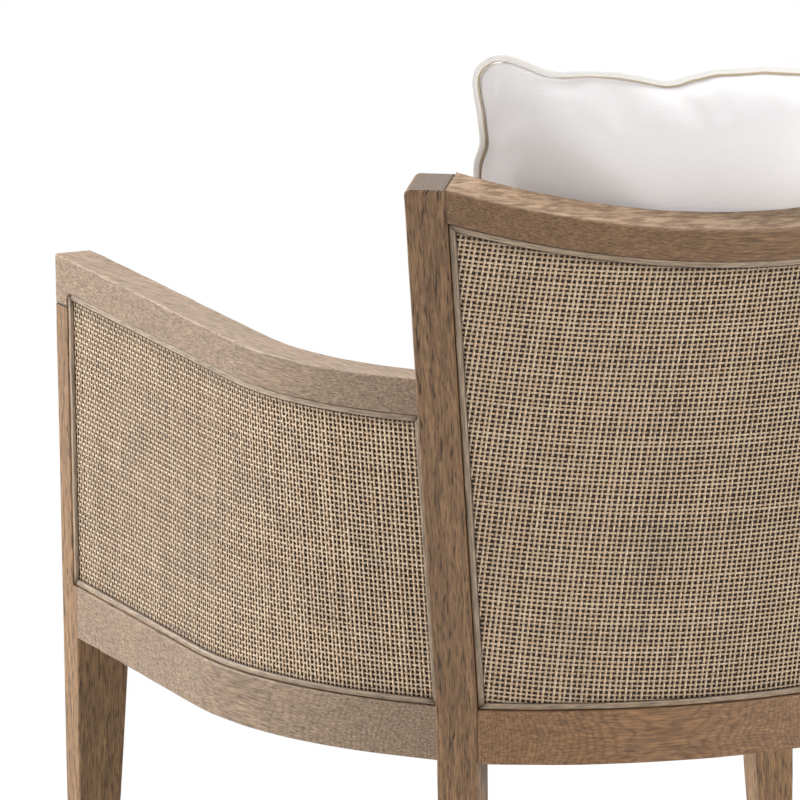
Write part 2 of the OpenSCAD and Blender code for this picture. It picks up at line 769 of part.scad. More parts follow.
// Back cushion: it stands on the crown of the seat cushion and rests on the crest's lower edge
function seat_top(y) = let (share = min(abs(y - seat_mid) / rim(seat_edges, 24, 90), 1))
    seat_floor + seat_half_h + seat_box / 2 + piping_d * 0.2
    + (share < 0.9 ? crown_at(share, seat_crown) : crown_at(0.9, seat_crown) * (1 - share) / 0.1);
back_lean = lean + 1;
back_half_h = back_cushion_h / 2;
back_reach = back_half_h * (1 - edge_pull);
crest_low = crest_z + crest_d * sin(lean) - crest_h * cos(lean);
crest_share = abs(crest_low - seat_top(seat_depth) - back_reach * cos(back_lean)) / back_reach;
back_half_t = face_depth(crest_share, back_rear);
crest_face = arc_y + back_radius(crest_low) - crest_d / cos(lean);
function back_axis(z) = crest_face - (back_half_t + soft_gap) / cos(back_lean)
    + (z - crest_low) * tan(back_lean);

// The lower seam stands on the seat cushion, and its bent sides touch the crown first
back_mid_z = seat_top(back_axis(seat_top(seat_depth))) + soft_gap + 0.08 * seat_crown
    + back_reach * cos(back_lean) + piping_d / 2;

module back_cushion() {
    w = back_cushion_w / 2;
    color(linen) place()
        translate([0, back_axis(back_mid_z), back_mid_z]) rotate([90 - back_lean, 0, 0])
            cushion(knife_face(back_front), [1, -piping_d / 2, 0], knife_face(back_rear),
                [back_front, back_rear], [[-1, w], [90, back_half_h], [181, w], [270, back_half_h]],
                20, 60, back_bend, edge_pull, corner_thin);
}

front_leg_left();
front_leg_right();
rear_post_left();
rear_post_right();
arm_left();
arm_right();
crest_rail();
back_rail();
side_rail_left();
side_rail_right();
front_rail();
back_cane();
side_cane_left();
side_cane_right();
back_lining();
side_lining_left();
side_lining_right();
back_beads();
side_beads_left();
side_beads_right();
front_corner_blocks();
rear_corner_blocks();
corner_screws();
seat_dowels();
arm_dowels();
crest_dowels();
webbing_lengthwise();
webbing_crosswise();
deck_pad();
dust_cover();
floor_glides();
seat_cushion();
back_cushion();
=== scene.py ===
"""Dresses the occasional chair: eased and worn oak, woven cane, mitred beads and two soft cushions.

The chair faces -Y and is symmetric about X = 0. Every length here is in metres.
"""
import math

import bpy
import numpy as np
from mathutils import Matrix, Vector


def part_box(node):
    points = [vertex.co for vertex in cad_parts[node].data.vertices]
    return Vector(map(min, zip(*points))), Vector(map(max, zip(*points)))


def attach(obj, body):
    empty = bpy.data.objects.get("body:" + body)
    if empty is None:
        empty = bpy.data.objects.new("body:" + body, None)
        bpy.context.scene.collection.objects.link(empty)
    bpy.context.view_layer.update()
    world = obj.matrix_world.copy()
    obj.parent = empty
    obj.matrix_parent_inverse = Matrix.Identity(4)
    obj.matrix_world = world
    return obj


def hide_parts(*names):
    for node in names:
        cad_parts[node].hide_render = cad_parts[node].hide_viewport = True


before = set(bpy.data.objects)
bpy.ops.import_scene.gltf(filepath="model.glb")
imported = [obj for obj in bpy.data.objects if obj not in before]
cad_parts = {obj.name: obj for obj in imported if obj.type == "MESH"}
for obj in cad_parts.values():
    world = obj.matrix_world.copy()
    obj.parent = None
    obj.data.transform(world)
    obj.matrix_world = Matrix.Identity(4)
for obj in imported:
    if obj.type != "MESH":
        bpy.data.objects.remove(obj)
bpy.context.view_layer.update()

# Sizes read from the frame

RAIL_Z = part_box("back_rail")[0].z
RAIL_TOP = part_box("back_rail")[1].z
HALF_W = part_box("front_leg_left")[1].x
GLIDE_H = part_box("front_leg_left")[0].z
ELBOW_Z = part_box("front_leg_left")[1].z
LEG_D = 0.0315
MID_Y = -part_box("front_leg_left")[0].y - LEG_D

# Driving sizes of the barrel frame. The back is a circle of BACK_R, and the rear posts stand on it at
# POST_ANGLE. Each side starts outwards at SPLAY, bends inwards in an arc until it runs at SIDE_END, and
# goes straight on to its post for RAIL_LEAD or ARM_LEAD. The crest dips by CREST_DIP in the middle.

SEAT_DEPTH = 0.617
ARM_Z = 0.607
ARM_DROP = 0.005
CREST_Z = 0.718
CREST_DIP = 0.039
BACK_R = 0.378
POST_ANGLE = math.radians(37.5)
LEAN = math.radians(11)
SPLAY = math.radians(1.5)
SIDE_END = math.radians(38)
RAIL_LEAD = 0.032
ARM_LEAD = 0.007
SIDE_SETBACK = 0.007

# Sections of the legs, posts and rails: W is across the piece's face, D or T is from face to back. Above
# the side rail the front leg steps in by LEG_STEP, and it meets the arm's underside in a fillet of ELBOW_R.

LEG_W = 0.047
LEG_STEP = 0.008
FOOT_W = 0.027
FOOT_D = 0.024
POST_W = 0.0325
POST_D = 0.0355
REAR_FOOT_D = 0.028
POST_BEND_R = 0.260
POST_TOP_R = 0.0055
RAIL_T = 0.024
ARM_W = 0.032
ARM_T = 0.029
ELBOW_R = 0.008
CREST_D = 0.041
CREST_H = 0.026
FRONT_RAIL_BACK = 0.004
FRONT_LIP = 0.010
LIP_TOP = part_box("front_rail")[1].z

# Cane panels: width of the beads, and how far beads and cane lie below the rails' outer faces

BEAD = 0.006
BEAD_BACK = 0.002
FRONT_BEAD_BACK = 0.0008
CANE_BACK = 0.0035
CANE_MID = 0.0043
CANE_PITCH = 0.00415
CANE_THICK = 0.00045
CANE_WAVE = 0.00032

SIDES = {"left": 1, "right": -1}


def back_radius(z):
    """Radius of the back's outer face: upright up to the seat rail, then a cone that leans outwards."""
    return BACK_R + math.tan(LEAN) * np.maximum(z - RAIL_TOP, 0)


ARC_Y = SEAT_DEPTH - BACK_R
POST_TOP = CREST_Z + CREST_DIP
JOINT_R = back_radius(POST_TOP)
JOINT_X = JOINT_R * math.sin(POST_ANGLE) - POST_W / 2 * math.cos(POST_ANGLE)
JOINT_Y = ARC_Y + POST_W / 2 * math.sin(POST_ANGLE) + JOINT_R * math.cos(POST_ANGLE)
JOINT_ANGLE = math.atan2(JOINT_X, JOINT_Y - ARC_Y)
CREST_Y = ARC_Y + back_radius(CREST_Z)
CREST_RISE = CREST_DIP * math.cos(LEAN) - (CREST_Y - JOINT_Y) * math.sin(LEAN)
CREST_R = (JOINT_X ** 2 + CREST_RISE ** 2) / (2 * CREST_RISE)
TURN = SPLAY + SIDE_END


def stack(x, y, z):
    """Joins three arrays that broadcast together into points, and moves them to the frame's origin."""
    x, y, z = np.broadcast_arrays(x, y, z)
    return np.stack([x, y - MID_Y, z], -1)


def ring(a, r, z):
    """Point on a ring round the barrel's axis: angle from the middle of the back, radius and height."""
    return stack(r * np.sin(a), ARC_Y + r * np.cos(a), z)


def at_post(x, y, z):
    """Point in a rear post's own frame: x across its face, y outwards from the barrel's axis."""
    c, s = math.cos(POST_ANGLE), math.sin(POST_ANGLE)
    return stack(x * c + y * s, ARC_Y - x * s + y * c, z)


def crest_edge(a):
    """Height of the crest's rear top edge: a cosine that rises from the middle to the posts."""
    return CREST_Z + CREST_DIP * (1 - np.cos(a)) / (1 - math.cos(JOINT_ANGLE))


def crest_under(a, depth, below=0.0):
    """Height of the crest's underside on the cone at a depth.
    It is the lower side of a round bar that lies in the leaning back, found by substitution rounds."""
    z = np.full(np.shape(a), CREST_Z)
    for _ in range(5):
        r = back_radius(z) - depth / math.cos(LEAN)
        x, y = r * np.sin(a), ARC_Y + r * np.cos(a)
        w = CREST_R - np.sqrt((CREST_R + CREST_H + below) ** 2 - x ** 2)
        z = CREST_Z + (w - (y - CREST_Y) * math.sin(LEAN)) / math.cos(LEAN)
    return z


def arm_top(y):
    """Height of an arm's top at the distance y behind the front legs."""
    return ARM_Z - ARM_DROP * y / SEAT_DEPTH


def side_path(out, lead):
    """Straight run, bend radius and straight lead of a side, from the front leg to the rear post."""
    reach = BACK_R - SIDE_SETBACK + out
    end_x = POST_W / 2 * math.cos(POST_ANGLE) + reach * math.sin(POST_ANGLE)
    end_y = ARC_Y - POST_W / 2 * math.sin(POST_ANGLE) + reach * math.cos(POST_ANGLE)
    dx, dy = end_x - HALF_W, end_y
    s = (dx * math.cos(SIDE_END) + dy * math.sin(SIDE_END)) / math.sin(TURN)
    t = (math.sin(SPLAY) * dy - math.cos(SPLAY) * dx) / math.sin(TURN)
    return s - (t - lead), (t - lead) / math.tan(TURN / 2), lead


ARM_MID_Z = ARM_Z - ARM_DROP - ARM_T / 2
RAIL_PATH = side_path(0, RAIL_LEAD)
ARM_PATH = side_path(math.tan(LEAN) * (ARM_MID_Z - RAIL_TOP), ARM_LEAD)


def path_length(path):
    """Length of a side path: run, arc and lead."""
    return path[0] + path[1] * TURN + path[2]


def path_plan(path, s, t):
    """Plan point at the distance s along a side path, set in by t: a line, an arc, then a line."""
    run, r = path[0], path[1]
    a = np.clip((s - run) / r, 0, TURN)
    before = np.minimum(s - run, 0)
    after = np.maximum(s - run - r * TURN, 0)
    c = r - t
    x = c * np.cos(a) - r - after * math.sin(TURN)
    y = run + before + c * np.sin(a) + after * math.cos(TURN)
    return (HALF_W + x * math.cos(SPLAY) + y * math.sin(SPLAY),
            y * math.cos(SPLAY) - x * math.sin(SPLAY))


def unit(vectors):
    """Each vector scaled to length 1."""
    return vectors / np.linalg.norm(vectors, axis=-1, keepdims=True)


def run_along(points):
    """Distance of each point of a line from its first one, measured along it."""
    return np.concatenate([[0], np.cumsum(np.linalg.norm(np.diff(points, axis=0), axis=1))])


def mirrored(points, side):
    """The sitter's left half as it is, or its mirror image for the right."""
    return points * np.array([SIDES[side], 1, 1])


def wobble(s, seed, share=0.35):
    """A slow wave of five sines with seeded phases, about 1, for hand-eased edges."""
    r = np.random.default_rng(seed)
    wave = sum(np.sin(s * f + p) for f, p in zip(r.uniform(18, 140, 5), r.uniform(0, 6.28, 5)))
    return 1 + share * wave / 3


# Meshes

def make_mesh(name, points, polygons, attributes=None, smooth=True):
    """A mesh from arrays: polygons is a list of index arrays, each (count, corners)."""
    mesh = bpy.data.meshes.new(name)
    sizes = np.concatenate([np.full(len(p), p.shape[1]) for p in polygons])
    corners = np.concatenate([p.ravel() for p in polygons]).astype(np.int32)
    mesh.vertices.add(len(points))
    mesh.vertices.foreach_set("co", np.asarray(points, np.float32).ravel())
    mesh.loops.add(len(corners))
    mesh.loops.foreach_set("vertex_index", corners)
    mesh.polygons.add(len(sizes))
    mesh.polygons.foreach_set("loop_start", (np.cumsum(sizes) - sizes).astype(np.int32))
    for key, (kind, values) in (attributes or {}).items():
        data = mesh.attributes.new(key, kind, "POINT").data
        field = "vector" if kind == "FLOAT_VECTOR" else "value"
        data.foreach_set(field, np.asarray(values, np.float32).ravel())
    mesh.update(calc_edges=True)
    mesh.validate()
    if smooth:
        mesh.polygons.foreach_set("use_smooth", np.ones(len(mesh.polygons), bool))
    return mesh


def outward(points, polygons):
    """Turns the faces round if the closed surface's signed volume is negative."""
    total = 0.0
    for p in polygons:
        first = points[p[:, 0]]
        for k in range(1, p.shape[1] - 1):
            total += np.einsum("ij,ij->", first, np.cross(points[p[:, k]], points[p[:, k + 1]]))
    return [p[:, ::-1] for p in polygons] if total < 0 else polygons


def add_piece(name, mesh, material, body, replaces=()):
    """Links a finished mesh as a piece that rides on a body."""
    piece = bpy.data.objects.new(name, mesh)
    bpy.context.scene.collection.objects.link(piece)
    mesh.materials.clear()
    mesh.materials.append(material)
    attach(piece, body)
    if replaces:
        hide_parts(*replaces)
    return piece


def tube_faces(rings, around):
    """Quads of a closed-section tube, and one polygon over each end."""
    i, j = np.meshgrid(np.arange(rings - 1), np.arange(around), indexing="ij")
    k = (j + 1) % around
    walls = np.stack([i * around + j, i * around + k, (i + 1) * around + k, (i + 1) * around + j], -1)
    start = np.arange(around)[None, ::-1]
    finish = (rings - 1) * around + np.arange(around)[None, :]
    return [walls.reshape(-1, 4), start, finish]


# How edges and ends are rounded. SUPPORT is the distance of the points that hold a face flat beside its
# arris, and END_FLAT does the same for the flat of an end.
ARRIS_STEPS = 4
SUPPORT = 0.001
JOINT_EASE = 0.0004
LEAST_R = 0.0002
END_FLAT = 0.0012
END_FLAT_R = 0.0008


def eased_ring(corners, radius, wear, ease, face_sheen):
    """One section with its corners rounded as quarter circles, and a support point on both sides of each.
    Returns the points (sections, around, 3) and the share of wear and painted sheen of each. Each corner has
    a share of wear and of ease, and the last argument says how much each face that follows a corner is
    lightened, as a painted sheen."""
    back = np.roll(corners, 1, 1) - corners
    ahead = np.roll(corners, -1, 1) - corners
    back_len = np.linalg.norm(back, axis=-1, keepdims=True)
    ahead_len = np.linalg.norm(ahead, axis=-1, keepdims=True)
    back, ahead = back / back_len, ahead / ahead_len
    r = radius[:, None, None] * np.array(ease)[None, :, None]
    hold = np.minimum(r + SUPPORT, 0.4 * np.minimum(back_len, ahead_len))
    wear, face_sheen = np.array(wear), np.array(face_sheen)
    rows, wear_and_sheen = [corners + hold * back], [np.roll(face_sheen, 1)]
    for theta in np.linspace(0, math.pi / 2, ARRIS_STEPS + 1):
        rows.append(corners + r * (1 - math.sin(theta)) * back + r * (1 - math.cos(theta)) * ahead)
        wear_and_sheen.append(wear * (0.15 + 0.85 * math.sin(2 * theta)))
    rows.append(corners + hold * ahead)
    wear_and_sheen.append(face_sheen)
    points = np.stack(rows, 2)
    around = points.shape[1] * points.shape[2]
    return points.reshape(len(corners), around, 3), np.stack(wear_and_sheen, 1).ravel()


def end_rings(corners, radius, ease, last):
    """Extra sections that round an end over by a quarter circle, then one support ring on the flat end."""
    end = corners[-1] if last else corners[0]
    inner = corners[-2] if last else corners[1]
    axis = unit((end - inner).mean(0))
    inward = unit(np.roll(end, 1, 0) - end) + unit(np.roll(end, -1, 0) - end)
    r = radius[-1] if last else radius[0]
    rows, radii = [], []
    for share in (0.0, 0.35, 0.7, 1.0):
        theta = share * math.pi / 2
        rows.append(end + inward * ease * (1 - math.cos(theta)) - axis * ease * (1 - math.sin(theta)))
        radii.append(max(r - ease * (1 - math.cos(theta)), LEAST_R))
    rows.append(end + inward * (ease + END_FLAT))
    radii.append(max(r - ease - END_FLAT_R, LEAST_R))
    rows, radii = np.array(rows), np.array(radii)
    return (rows, radii) if last else (rows[::-1], radii[::-1])


def guard_section(end, first, second, joint):
    """One more section beside a butt joint's rounding, or none: it keeps the glue line narrow."""
    toward = (second - first) / np.linalg.norm((second - first).mean(0))
    return end + toward * JOINT_EASE if joint else end[:0]


def closed_sections(corners, radii, ends, end_tone):
    """A board's sections with both ends rounded over, the arris radius and the end tone of each."""
    joints = [end == "joint" for end in ends]
    eases = [JOINT_EASE if joint else end for joint, end in zip(joints, ends)]
    head, head_r = end_rings(corners, radii, eases[0], False)
    tail, tail_r = end_rings(corners, radii, eases[1], True)
    near_head = guard_section(head[-1:], corners[0], corners[1], joints[0])
    near_tail = guard_section(tail[:1], corners[-1], corners[-2], joints[1])
    rows = np.concatenate([head, near_head, corners[1:-1], near_tail, tail])
    all_radii = np.concatenate([head_r, np.full(len(near_head), radii[0]), radii[1:-1],
                                np.full(len(near_tail), radii[-1]), tail_r])
    dark = np.zeros(len(rows))
    dark[:len(head)] = float(joints[0])
    dark[-len(tail):] = max(float(joints[1]), end_tone)
    return rows, all_radii, dark


def board_grain(points, rows, plank, pith, seed):
    """Grain coordinates of a board's points: the distance along the grain, and across it two ways."""
    if plank is None:
        middle = rows.mean(1)
        local = points - middle[:, None]
        along = np.broadcast_to(run_along(middle)[:, None], points.shape[:2])
        across = [np.einsum("ijk,ik->ij", local, unit(rows[:, k] - rows[:, 0])) for k in (1, -1)]
        grain = np.stack([along] + across, -1)
    else:
        c, s = math.cos(plank), math.sin(plank)
        grain = np.stack([points[..., 0] * c + points[..., 1] * s, points[..., 2] - RAIL_TOP,
                          points[..., 1] * c - points[..., 0] * s], -1)
    if pith is None:
        return grain + np.random.default_rng(seed).uniform(0.2, 1, 3) * [4, 0.06, 0.3]
    return grain - [0, pith[0], pith[1]]


def timber(name, corners, radius, ends, material, replaces=(), seed=0, wear=None, plank=None,
           pith=None, ease=None, end_tone=0.0, face_sheen=None):
    """A board from its section corners (sections, corners, 3), with eased arrises.
    ends gives each end's easing in metres, or "joint" for a tight butt joint with a dark glue line.
    The grain follows a straight board: distance along it, and across its two faces. A curved piece is sawn
    from a thick straight plank instead, and plank is the angle of that plank from the X axis, in plan.
    pith is the height and the plan offset of the tree's middle line, where the growth rings centre.
    ease has one share of the arris radius for each corner, and end_tone darkens the last end's grain.
    The last argument has one share for each face, which starts at the corner of the same number, and
    lightens that face as a painted sheen."""
    radii = radius * wobble(run_along(corners.mean(1)), seed)
    rows, radii, dark = closed_sections(corners, radii, ends, end_tone)
    count = rows.shape[1]
    points, wear_and_sheen = eased_ring(rows, radii, wear or [0.5] * count, ease or [1.0] * count,
                              face_sheen or [0.0] * count)
    rings, around = points.shape[:2]
    grain = board_grain(points, rows, plank, pith, seed)
    flat = points.reshape(-1, 3)
    polygons = outward(flat, tube_faces(rings, around))
    data = {"grain": ("FLOAT_VECTOR", grain.reshape(-1, 3)),
            "wear_and_sheen": ("FLOAT", np.tile(wear_and_sheen, rings)),
            "joint": ("FLOAT", np.repeat(dark, around))}
    mesh = make_mesh(name, flat, polygons, data)
    return add_piece(name, mesh, material, "chair_frame", replaces)


# Node trees

def linear(code):
    """Linear colour of an sRGB hex code."""
    parts = [int(code[i:i + 2], 16) / 255 for i in (1, 3, 5)]
    return tuple(c / 12.92 if c <= 0.04045 else ((c + 0.055) / 1.055) ** 2.4 for c in parts) + (1.0,)


class Tree:
    """Adds nodes to a tree and links whatever is given as a socket."""

    def __init__(self, tree):
        self.tree = tree

    def add(self, kind, inputs=None, out=0, **settings):
        made = self.tree.nodes.new(kind)
        for key, value in settings.items():
            setattr(made, key, value)
        for key, value in (inputs or {}).items():
            if isinstance(value, bpy.types.NodeSocket):
                self.tree.links.new(value, made.inputs[key])
            else:
                made.inputs[key].default_value = value
        return made.outputs[out]

    def math(self, operation, a, b=None, clamp=False):
        inputs = {0: a} if b is None else {0: a, 1: b}
        return self.add("ShaderNodeMath", inputs, operation=operation, use_clamp=clamp)

    def vector(self, operation, a, b, out=0):
        return self.add("ShaderNodeVectorMath", {0: a, 1: b}, out=out, operation=operation)

    def noise(self, vector, detail=2.0, rough=0.5, out="Fac"):
        inputs = {"Vector": vector, "Scale": 1.0, "Detail": detail, "Roughness": rough}
        return self.add("ShaderNodeTexNoise", inputs, out=out)

    def mix(self, factor, a, b, blend="MIX"):
        made = self.tree.nodes.new("ShaderNodeMix")
        made.data_type, made.blend_type = "RGBA", blend
        for index, value in ((0, factor), (6, a), (7, b)):
            if isinstance(value, bpy.types.NodeSocket):
                self.tree.links.new(value, made.inputs[index])
            else:
                made.inputs[index].default_value = value
        return made.outputs[2]

    def ramp(self, factor, low, high):
        """0 below low, 1 above high, smooth in between."""
        inputs = {"Value": factor, "From Min": low, "From Max": high}
        return self.add("ShaderNodeMapRange", inputs, interpolation_type="SMOOTHSTEP")

    def attribute(self, name, out="Fac"):
        return self.add("ShaderNodeAttribute", out=out, attribute_name=name)


def new_group(name, inputs, outputs):
    """An empty node group with named sockets: returns its tree, its helper and its input sockets."""
    group = bpy.data.node_groups.new(name, "ShaderNodeTree")
    for label, kind in inputs:
        group.interface.new_socket(label, in_out="INPUT", socket_type=kind)
    for label, kind in outputs:
        group.interface.new_socket(label, in_out="OUTPUT", socket_type=kind)
    source = group.nodes.new("NodeGroupInput")
    return group, Tree(group), source.outputs


def close_group(group, results):
    """Links the results to the group's outputs."""
    sink = group.nodes.new("NodeGroupOutput")
    for label, value in results.items():
        group.links.new(value, sink.inputs[label])


FLOAT, COLOUR, VECTOR = "NodeSocketFloat", "NodeSocketColor", "NodeSocketVector"
# Dark brown of glue lines, also used as painted shade in the gaps beside the beads
GLUE_AND_SHADE_BROWN = (0.03, 0.018, 0.01, 1)


def oak_grain_group():
    """Open-pored oak in grain coordinates: streaks, growth rings about the pith, pores and worn edges."""
    inputs = [("Grain", VECTOR), ("Wear And Sheen", FLOAT), ("Joint And Shade", FLOAT), ("Pale", COLOUR), ("Mid", COLOUR),
              ("Dark", COLOUR), ("Pore", COLOUR), ("Bleach And Sheen", COLOUR), ("Pore Amount", FLOAT),
              ("Ring Rate", FLOAT), ("Ring Amount", FLOAT)]
    outputs = [("Color", COLOUR), ("Roughness", FLOAT), ("Height", FLOAT)]
    group, t, given = new_group("oak_grain", inputs, outputs)
    grain = given["Grain"]

    # The grain sways a little, and streaks, rings, pores and fibres follow it
    sway = t.noise(t.vector("MULTIPLY", grain, (9, 22, 22)), 4.0, 0.65, "Color")
    sway = t.vector("MULTIPLY", t.vector("SUBTRACT", sway, (0.5, 0.5, 0.5)), (0, 0.006, 0.006))
    bent = t.vector("ADD", grain, sway)
    streaks = t.noise(t.vector("MULTIPLY", bent, (7, 260, 260)), 4.0, 0.65)
    blotch = t.noise(t.vector("MULTIPLY", grain, (10, 20, 20)), 3.0, 0.6)
    fibre = t.noise(t.vector("MULTIPLY", bent, (55, 800, 800)), 2.0, 0.65)

    # Rings are circles about the pith, with more pores in their early wood
    flat = t.vector("MULTIPLY", bent, (0, 1, 1))
    radius = t.add("ShaderNodeVectorMath", {0: flat}, out="Value", operation="LENGTH")
    rings = t.math("SINE", t.math("MULTIPLY", radius, given["Ring Rate"]))
    early = t.ramp(rings, 0.0, 1.0)
    pores = t.noise(t.vector("MULTIPLY", bent, (75, 700, 700)), 1.0, 0.5)
    pores = t.ramp(pores, 0.52, 0.68)
    gate = t.math("ADD", t.math("MULTIPLY", early, 0.5), 0.5)
    pores = t.math("MULTIPLY", t.math("MULTIPLY", pores, gate), given["Pore Amount"], clamp=True)

    # Colour from the broad streaks down to single pores
    colour = t.mix(t.ramp(streaks, 0.35, 0.68), given["Mid"], given["Pale"])
    colour = t.mix(t.math("MULTIPLY", t.ramp(blotch, 0.45, 0.8), 0.35), colour, given["Dark"])
    colour = t.mix(t.math("MULTIPLY", early, given["Ring Amount"]), colour, given["Dark"])
    light = t.math("ADD", t.math("MULTIPLY", fibre, 2.4), -0.19)
    colour = t.mix(1.0, colour, t.add("ShaderNodeCombineColor", {0: light, 1: light, 2: light}), "MULTIPLY")
    colour = t.mix(pores, colour, given["Pore"])

    # Rubbed edges are bleached and some faces are lightened as a painted sheen; joints and sealed ends are
    # dark
    rub_and_sheen = t.noise(t.vector("MULTIPLY", grain, (60, 200, 200)), 3.0, 0.65)
    rub_and_sheen = t.math("MULTIPLY", given["Wear And Sheen"], t.ramp(rub_and_sheen, 0.35, 0.7), clamp=True)
    colour = t.mix(t.math("MULTIPLY", rub_and_sheen, 0.6), colour, given["Bleach And Sheen"])
    speckle = t.math("ADD", t.math("MULTIPLY", fibre, 1.6), 0.05)
    # Joints paint glue lines, and on the beads also painted shade in the gaps beside them
    glue_and_shade = t.math("MULTIPLY", given["Joint And Shade"], speckle, clamp=True)
    colour = t.mix(glue_and_shade, colour, GLUE_AND_SHADE_BROWN)

    rough = t.math("ADD", t.math("MULTIPLY", streaks, 0.16), 0.44)
    rough = t.math("ADD", t.math("MULTIPLY", pores, 0.2), rough)
    height = t.math("SUBTRACT", t.math("MULTIPLY", fibre, 0.35), t.math("MULTIPLY", pores, 1.0))
    close_group(group, {"Color": colour, "Roughness": rough, "Height": height})
    return group


def new_material(name, preview):
    """A material with its preview colour: returns it with its tree's helper and its shader."""
    made = bpy.data.materials.new(name)
    made.use_nodes = True
    made.diffuse_color = preview
    shader = made.node_tree.nodes["Principled BSDF"]
    return made, Tree(made.node_tree), shader


def place_group(t, group, inputs):
    """Puts a node group into a tree, linked and set from the inputs. Returns its outputs."""
    made = t.tree.nodes.new("ShaderNodeGroup")
    made.node_tree = group
    for label, value in inputs.items():
        if isinstance(value, bpy.types.NodeSocket):
            t.tree.links.new(value, made.inputs[label])
        else:
            made.inputs[label].default_value = value
    return made.outputs


def bump(t, shader, height, distance, strength):
    normal = t.add("ShaderNodeBump", {"Height": height, "Distance": distance, "Strength": strength})
    t.tree.links.new(normal, shader.inputs["Normal"])


OAK_GRAIN = oak_grain_group()


def oak_material(name, pale, mid, dark, pore, bleach_and_sheen, amount, rings=(4500, 0.3), from_object=None):
    """Oiled oak from four tones, a bleach for rubbed edges that also lightens some faces as a painted sheen,
    the amount of pores, and its rings' rate and depth. Boards made here carry their grain. A carried-over
    node reads
    Object coordinates instead, turned by from_object."""
    made, t, shader = new_material(name, linear(mid))
    if from_object is None:
        grain = t.attribute("grain", "Vector")
        wear_and_sheen, joint = t.attribute("wear_and_sheen"), t.attribute("joint")
    else:
        coords = t.add("ShaderNodeTexCoord", out="Object")
        moved = {"Vector": coords, "Rotation": from_object, "Location": (1, 1, 1)}
        grain = t.add("ShaderNodeMapping", moved)
        wear_and_sheen, joint = 0.0, 0.0
    outputs = place_group(t, OAK_GRAIN, {
        "Grain": grain, "Wear And Sheen": wear_and_sheen, "Joint And Shade": joint, "Pale": linear(pale), "Mid": linear(mid),
        "Dark": linear(dark), "Pore": linear(pore), "Bleach And Sheen": linear(bleach_and_sheen), "Pore Amount": amount,
        "Ring Rate": float(rings[0]), "Ring Amount": rings[1]})
    t.tree.links.new(outputs["Color"], shader.inputs["Base Color"])
    t.tree.links.new(outputs["Roughness"], shader.inputs["Roughness"])
    shader.inputs["Specular IOR Level"].default_value = 0.5
    bump(t, shader, outputs["Height"], 0.0003, 0.7)
    return made


# Arms and side rails paler and greyer, posts browner: partly the boards' tones, partly painted sheen and
# shade
oak = oak_material("oak", "#947c66", "#867058", "#6c5641", "#4f3b2b", "#b49c8b", 0.55, (3600, 0.3))
leg_oak = oak_material("leg_oak", "#98754f", "#846342", "#64472c", "#341f10", "#b79575", 0.9, (3000, 0.3))
dark_oak = oak_material("dark_oak", "#8d6c4b", "#7a5b3c", "#5f432a", "#2f1d10", "#a1815f", 0.95, (3000, 0.3))
# The crest oak's pale bleach colour paints its rubbed arrises and a painted sheen on its top face
crest_oak = oak_material("crest_oak", "#826446", "#745638", "#5f442b", "#412c1b", "#d6b898", 0.45,
                         (2600, 0.3))
rail_oak = oak_material("rail_oak", "#8f6c4b", "#815f40", "#63442a", "#4b3420", "#a48263", 0.35,
                        (6200, 0.45))
bead_oak = oak_material("bead_oak", "#a38f79", "#917d67", "#776450", "#5c4a39", "#b8a793", 0.4, (3000, 0.3))
inner_wood = oak_material("inner_wood", "#c9a97c", "#bd9c6e", "#a98556", "#8c6b41", "#c9a97c", 0.3,
                          (2300, 0.3), (0, 0, 0))


# Frame pieces in oak

# Sections of a leg are about SECTION_GAP apart, and the rear foot's taper starts TAPER_START below the rail
SECTION_GAP = 0.03
TAPER_START = 0.012


def leg_corners(side):
    """Front leg: tapers below the rails, steps in above them and slims to the elbow."""
    soft = 0.0006
    knots = [(GLIDE_H, FOOT_W, FOOT_D - LEG_D), (RAIL_Z, LEG_W, 0.0), (RAIL_TOP - soft, LEG_W, 0.0),
             (RAIL_TOP, LEG_W, -soft), (RAIL_TOP, LEG_W, soft - LEG_STEP),
             (RAIL_TOP + soft, LEG_W, -LEG_STEP), (ELBOW_Z, ARM_W, -LEG_STEP)]
    rows = []
    for (z0, w0, y0), (z1, w1, y1) in zip(knots, knots[1:]):
        count = max(2, int((z1 - z0) / SECTION_GAP))
        u = np.linspace(0, 1, count + 1)[:-1] if z1 > z0 else np.array([0.0])
        rows.append(np.stack([z0 + u * (z1 - z0), w0 + u * (w1 - w0), y0 + u * (y1 - y0)], -1))
    z, w, y = np.concatenate(rows + [np.array([knots[-1]])]).T
    x1 = np.full(len(z), HALF_W)
    front = np.full(len(z), -LEG_D)
    corners = [stack(x1, y, z), stack(x1, front, z), stack(HALF_W - w, front, z), stack(HALF_W - w, y, z)]
    return mirrored(np.stack(corners, 1), side)


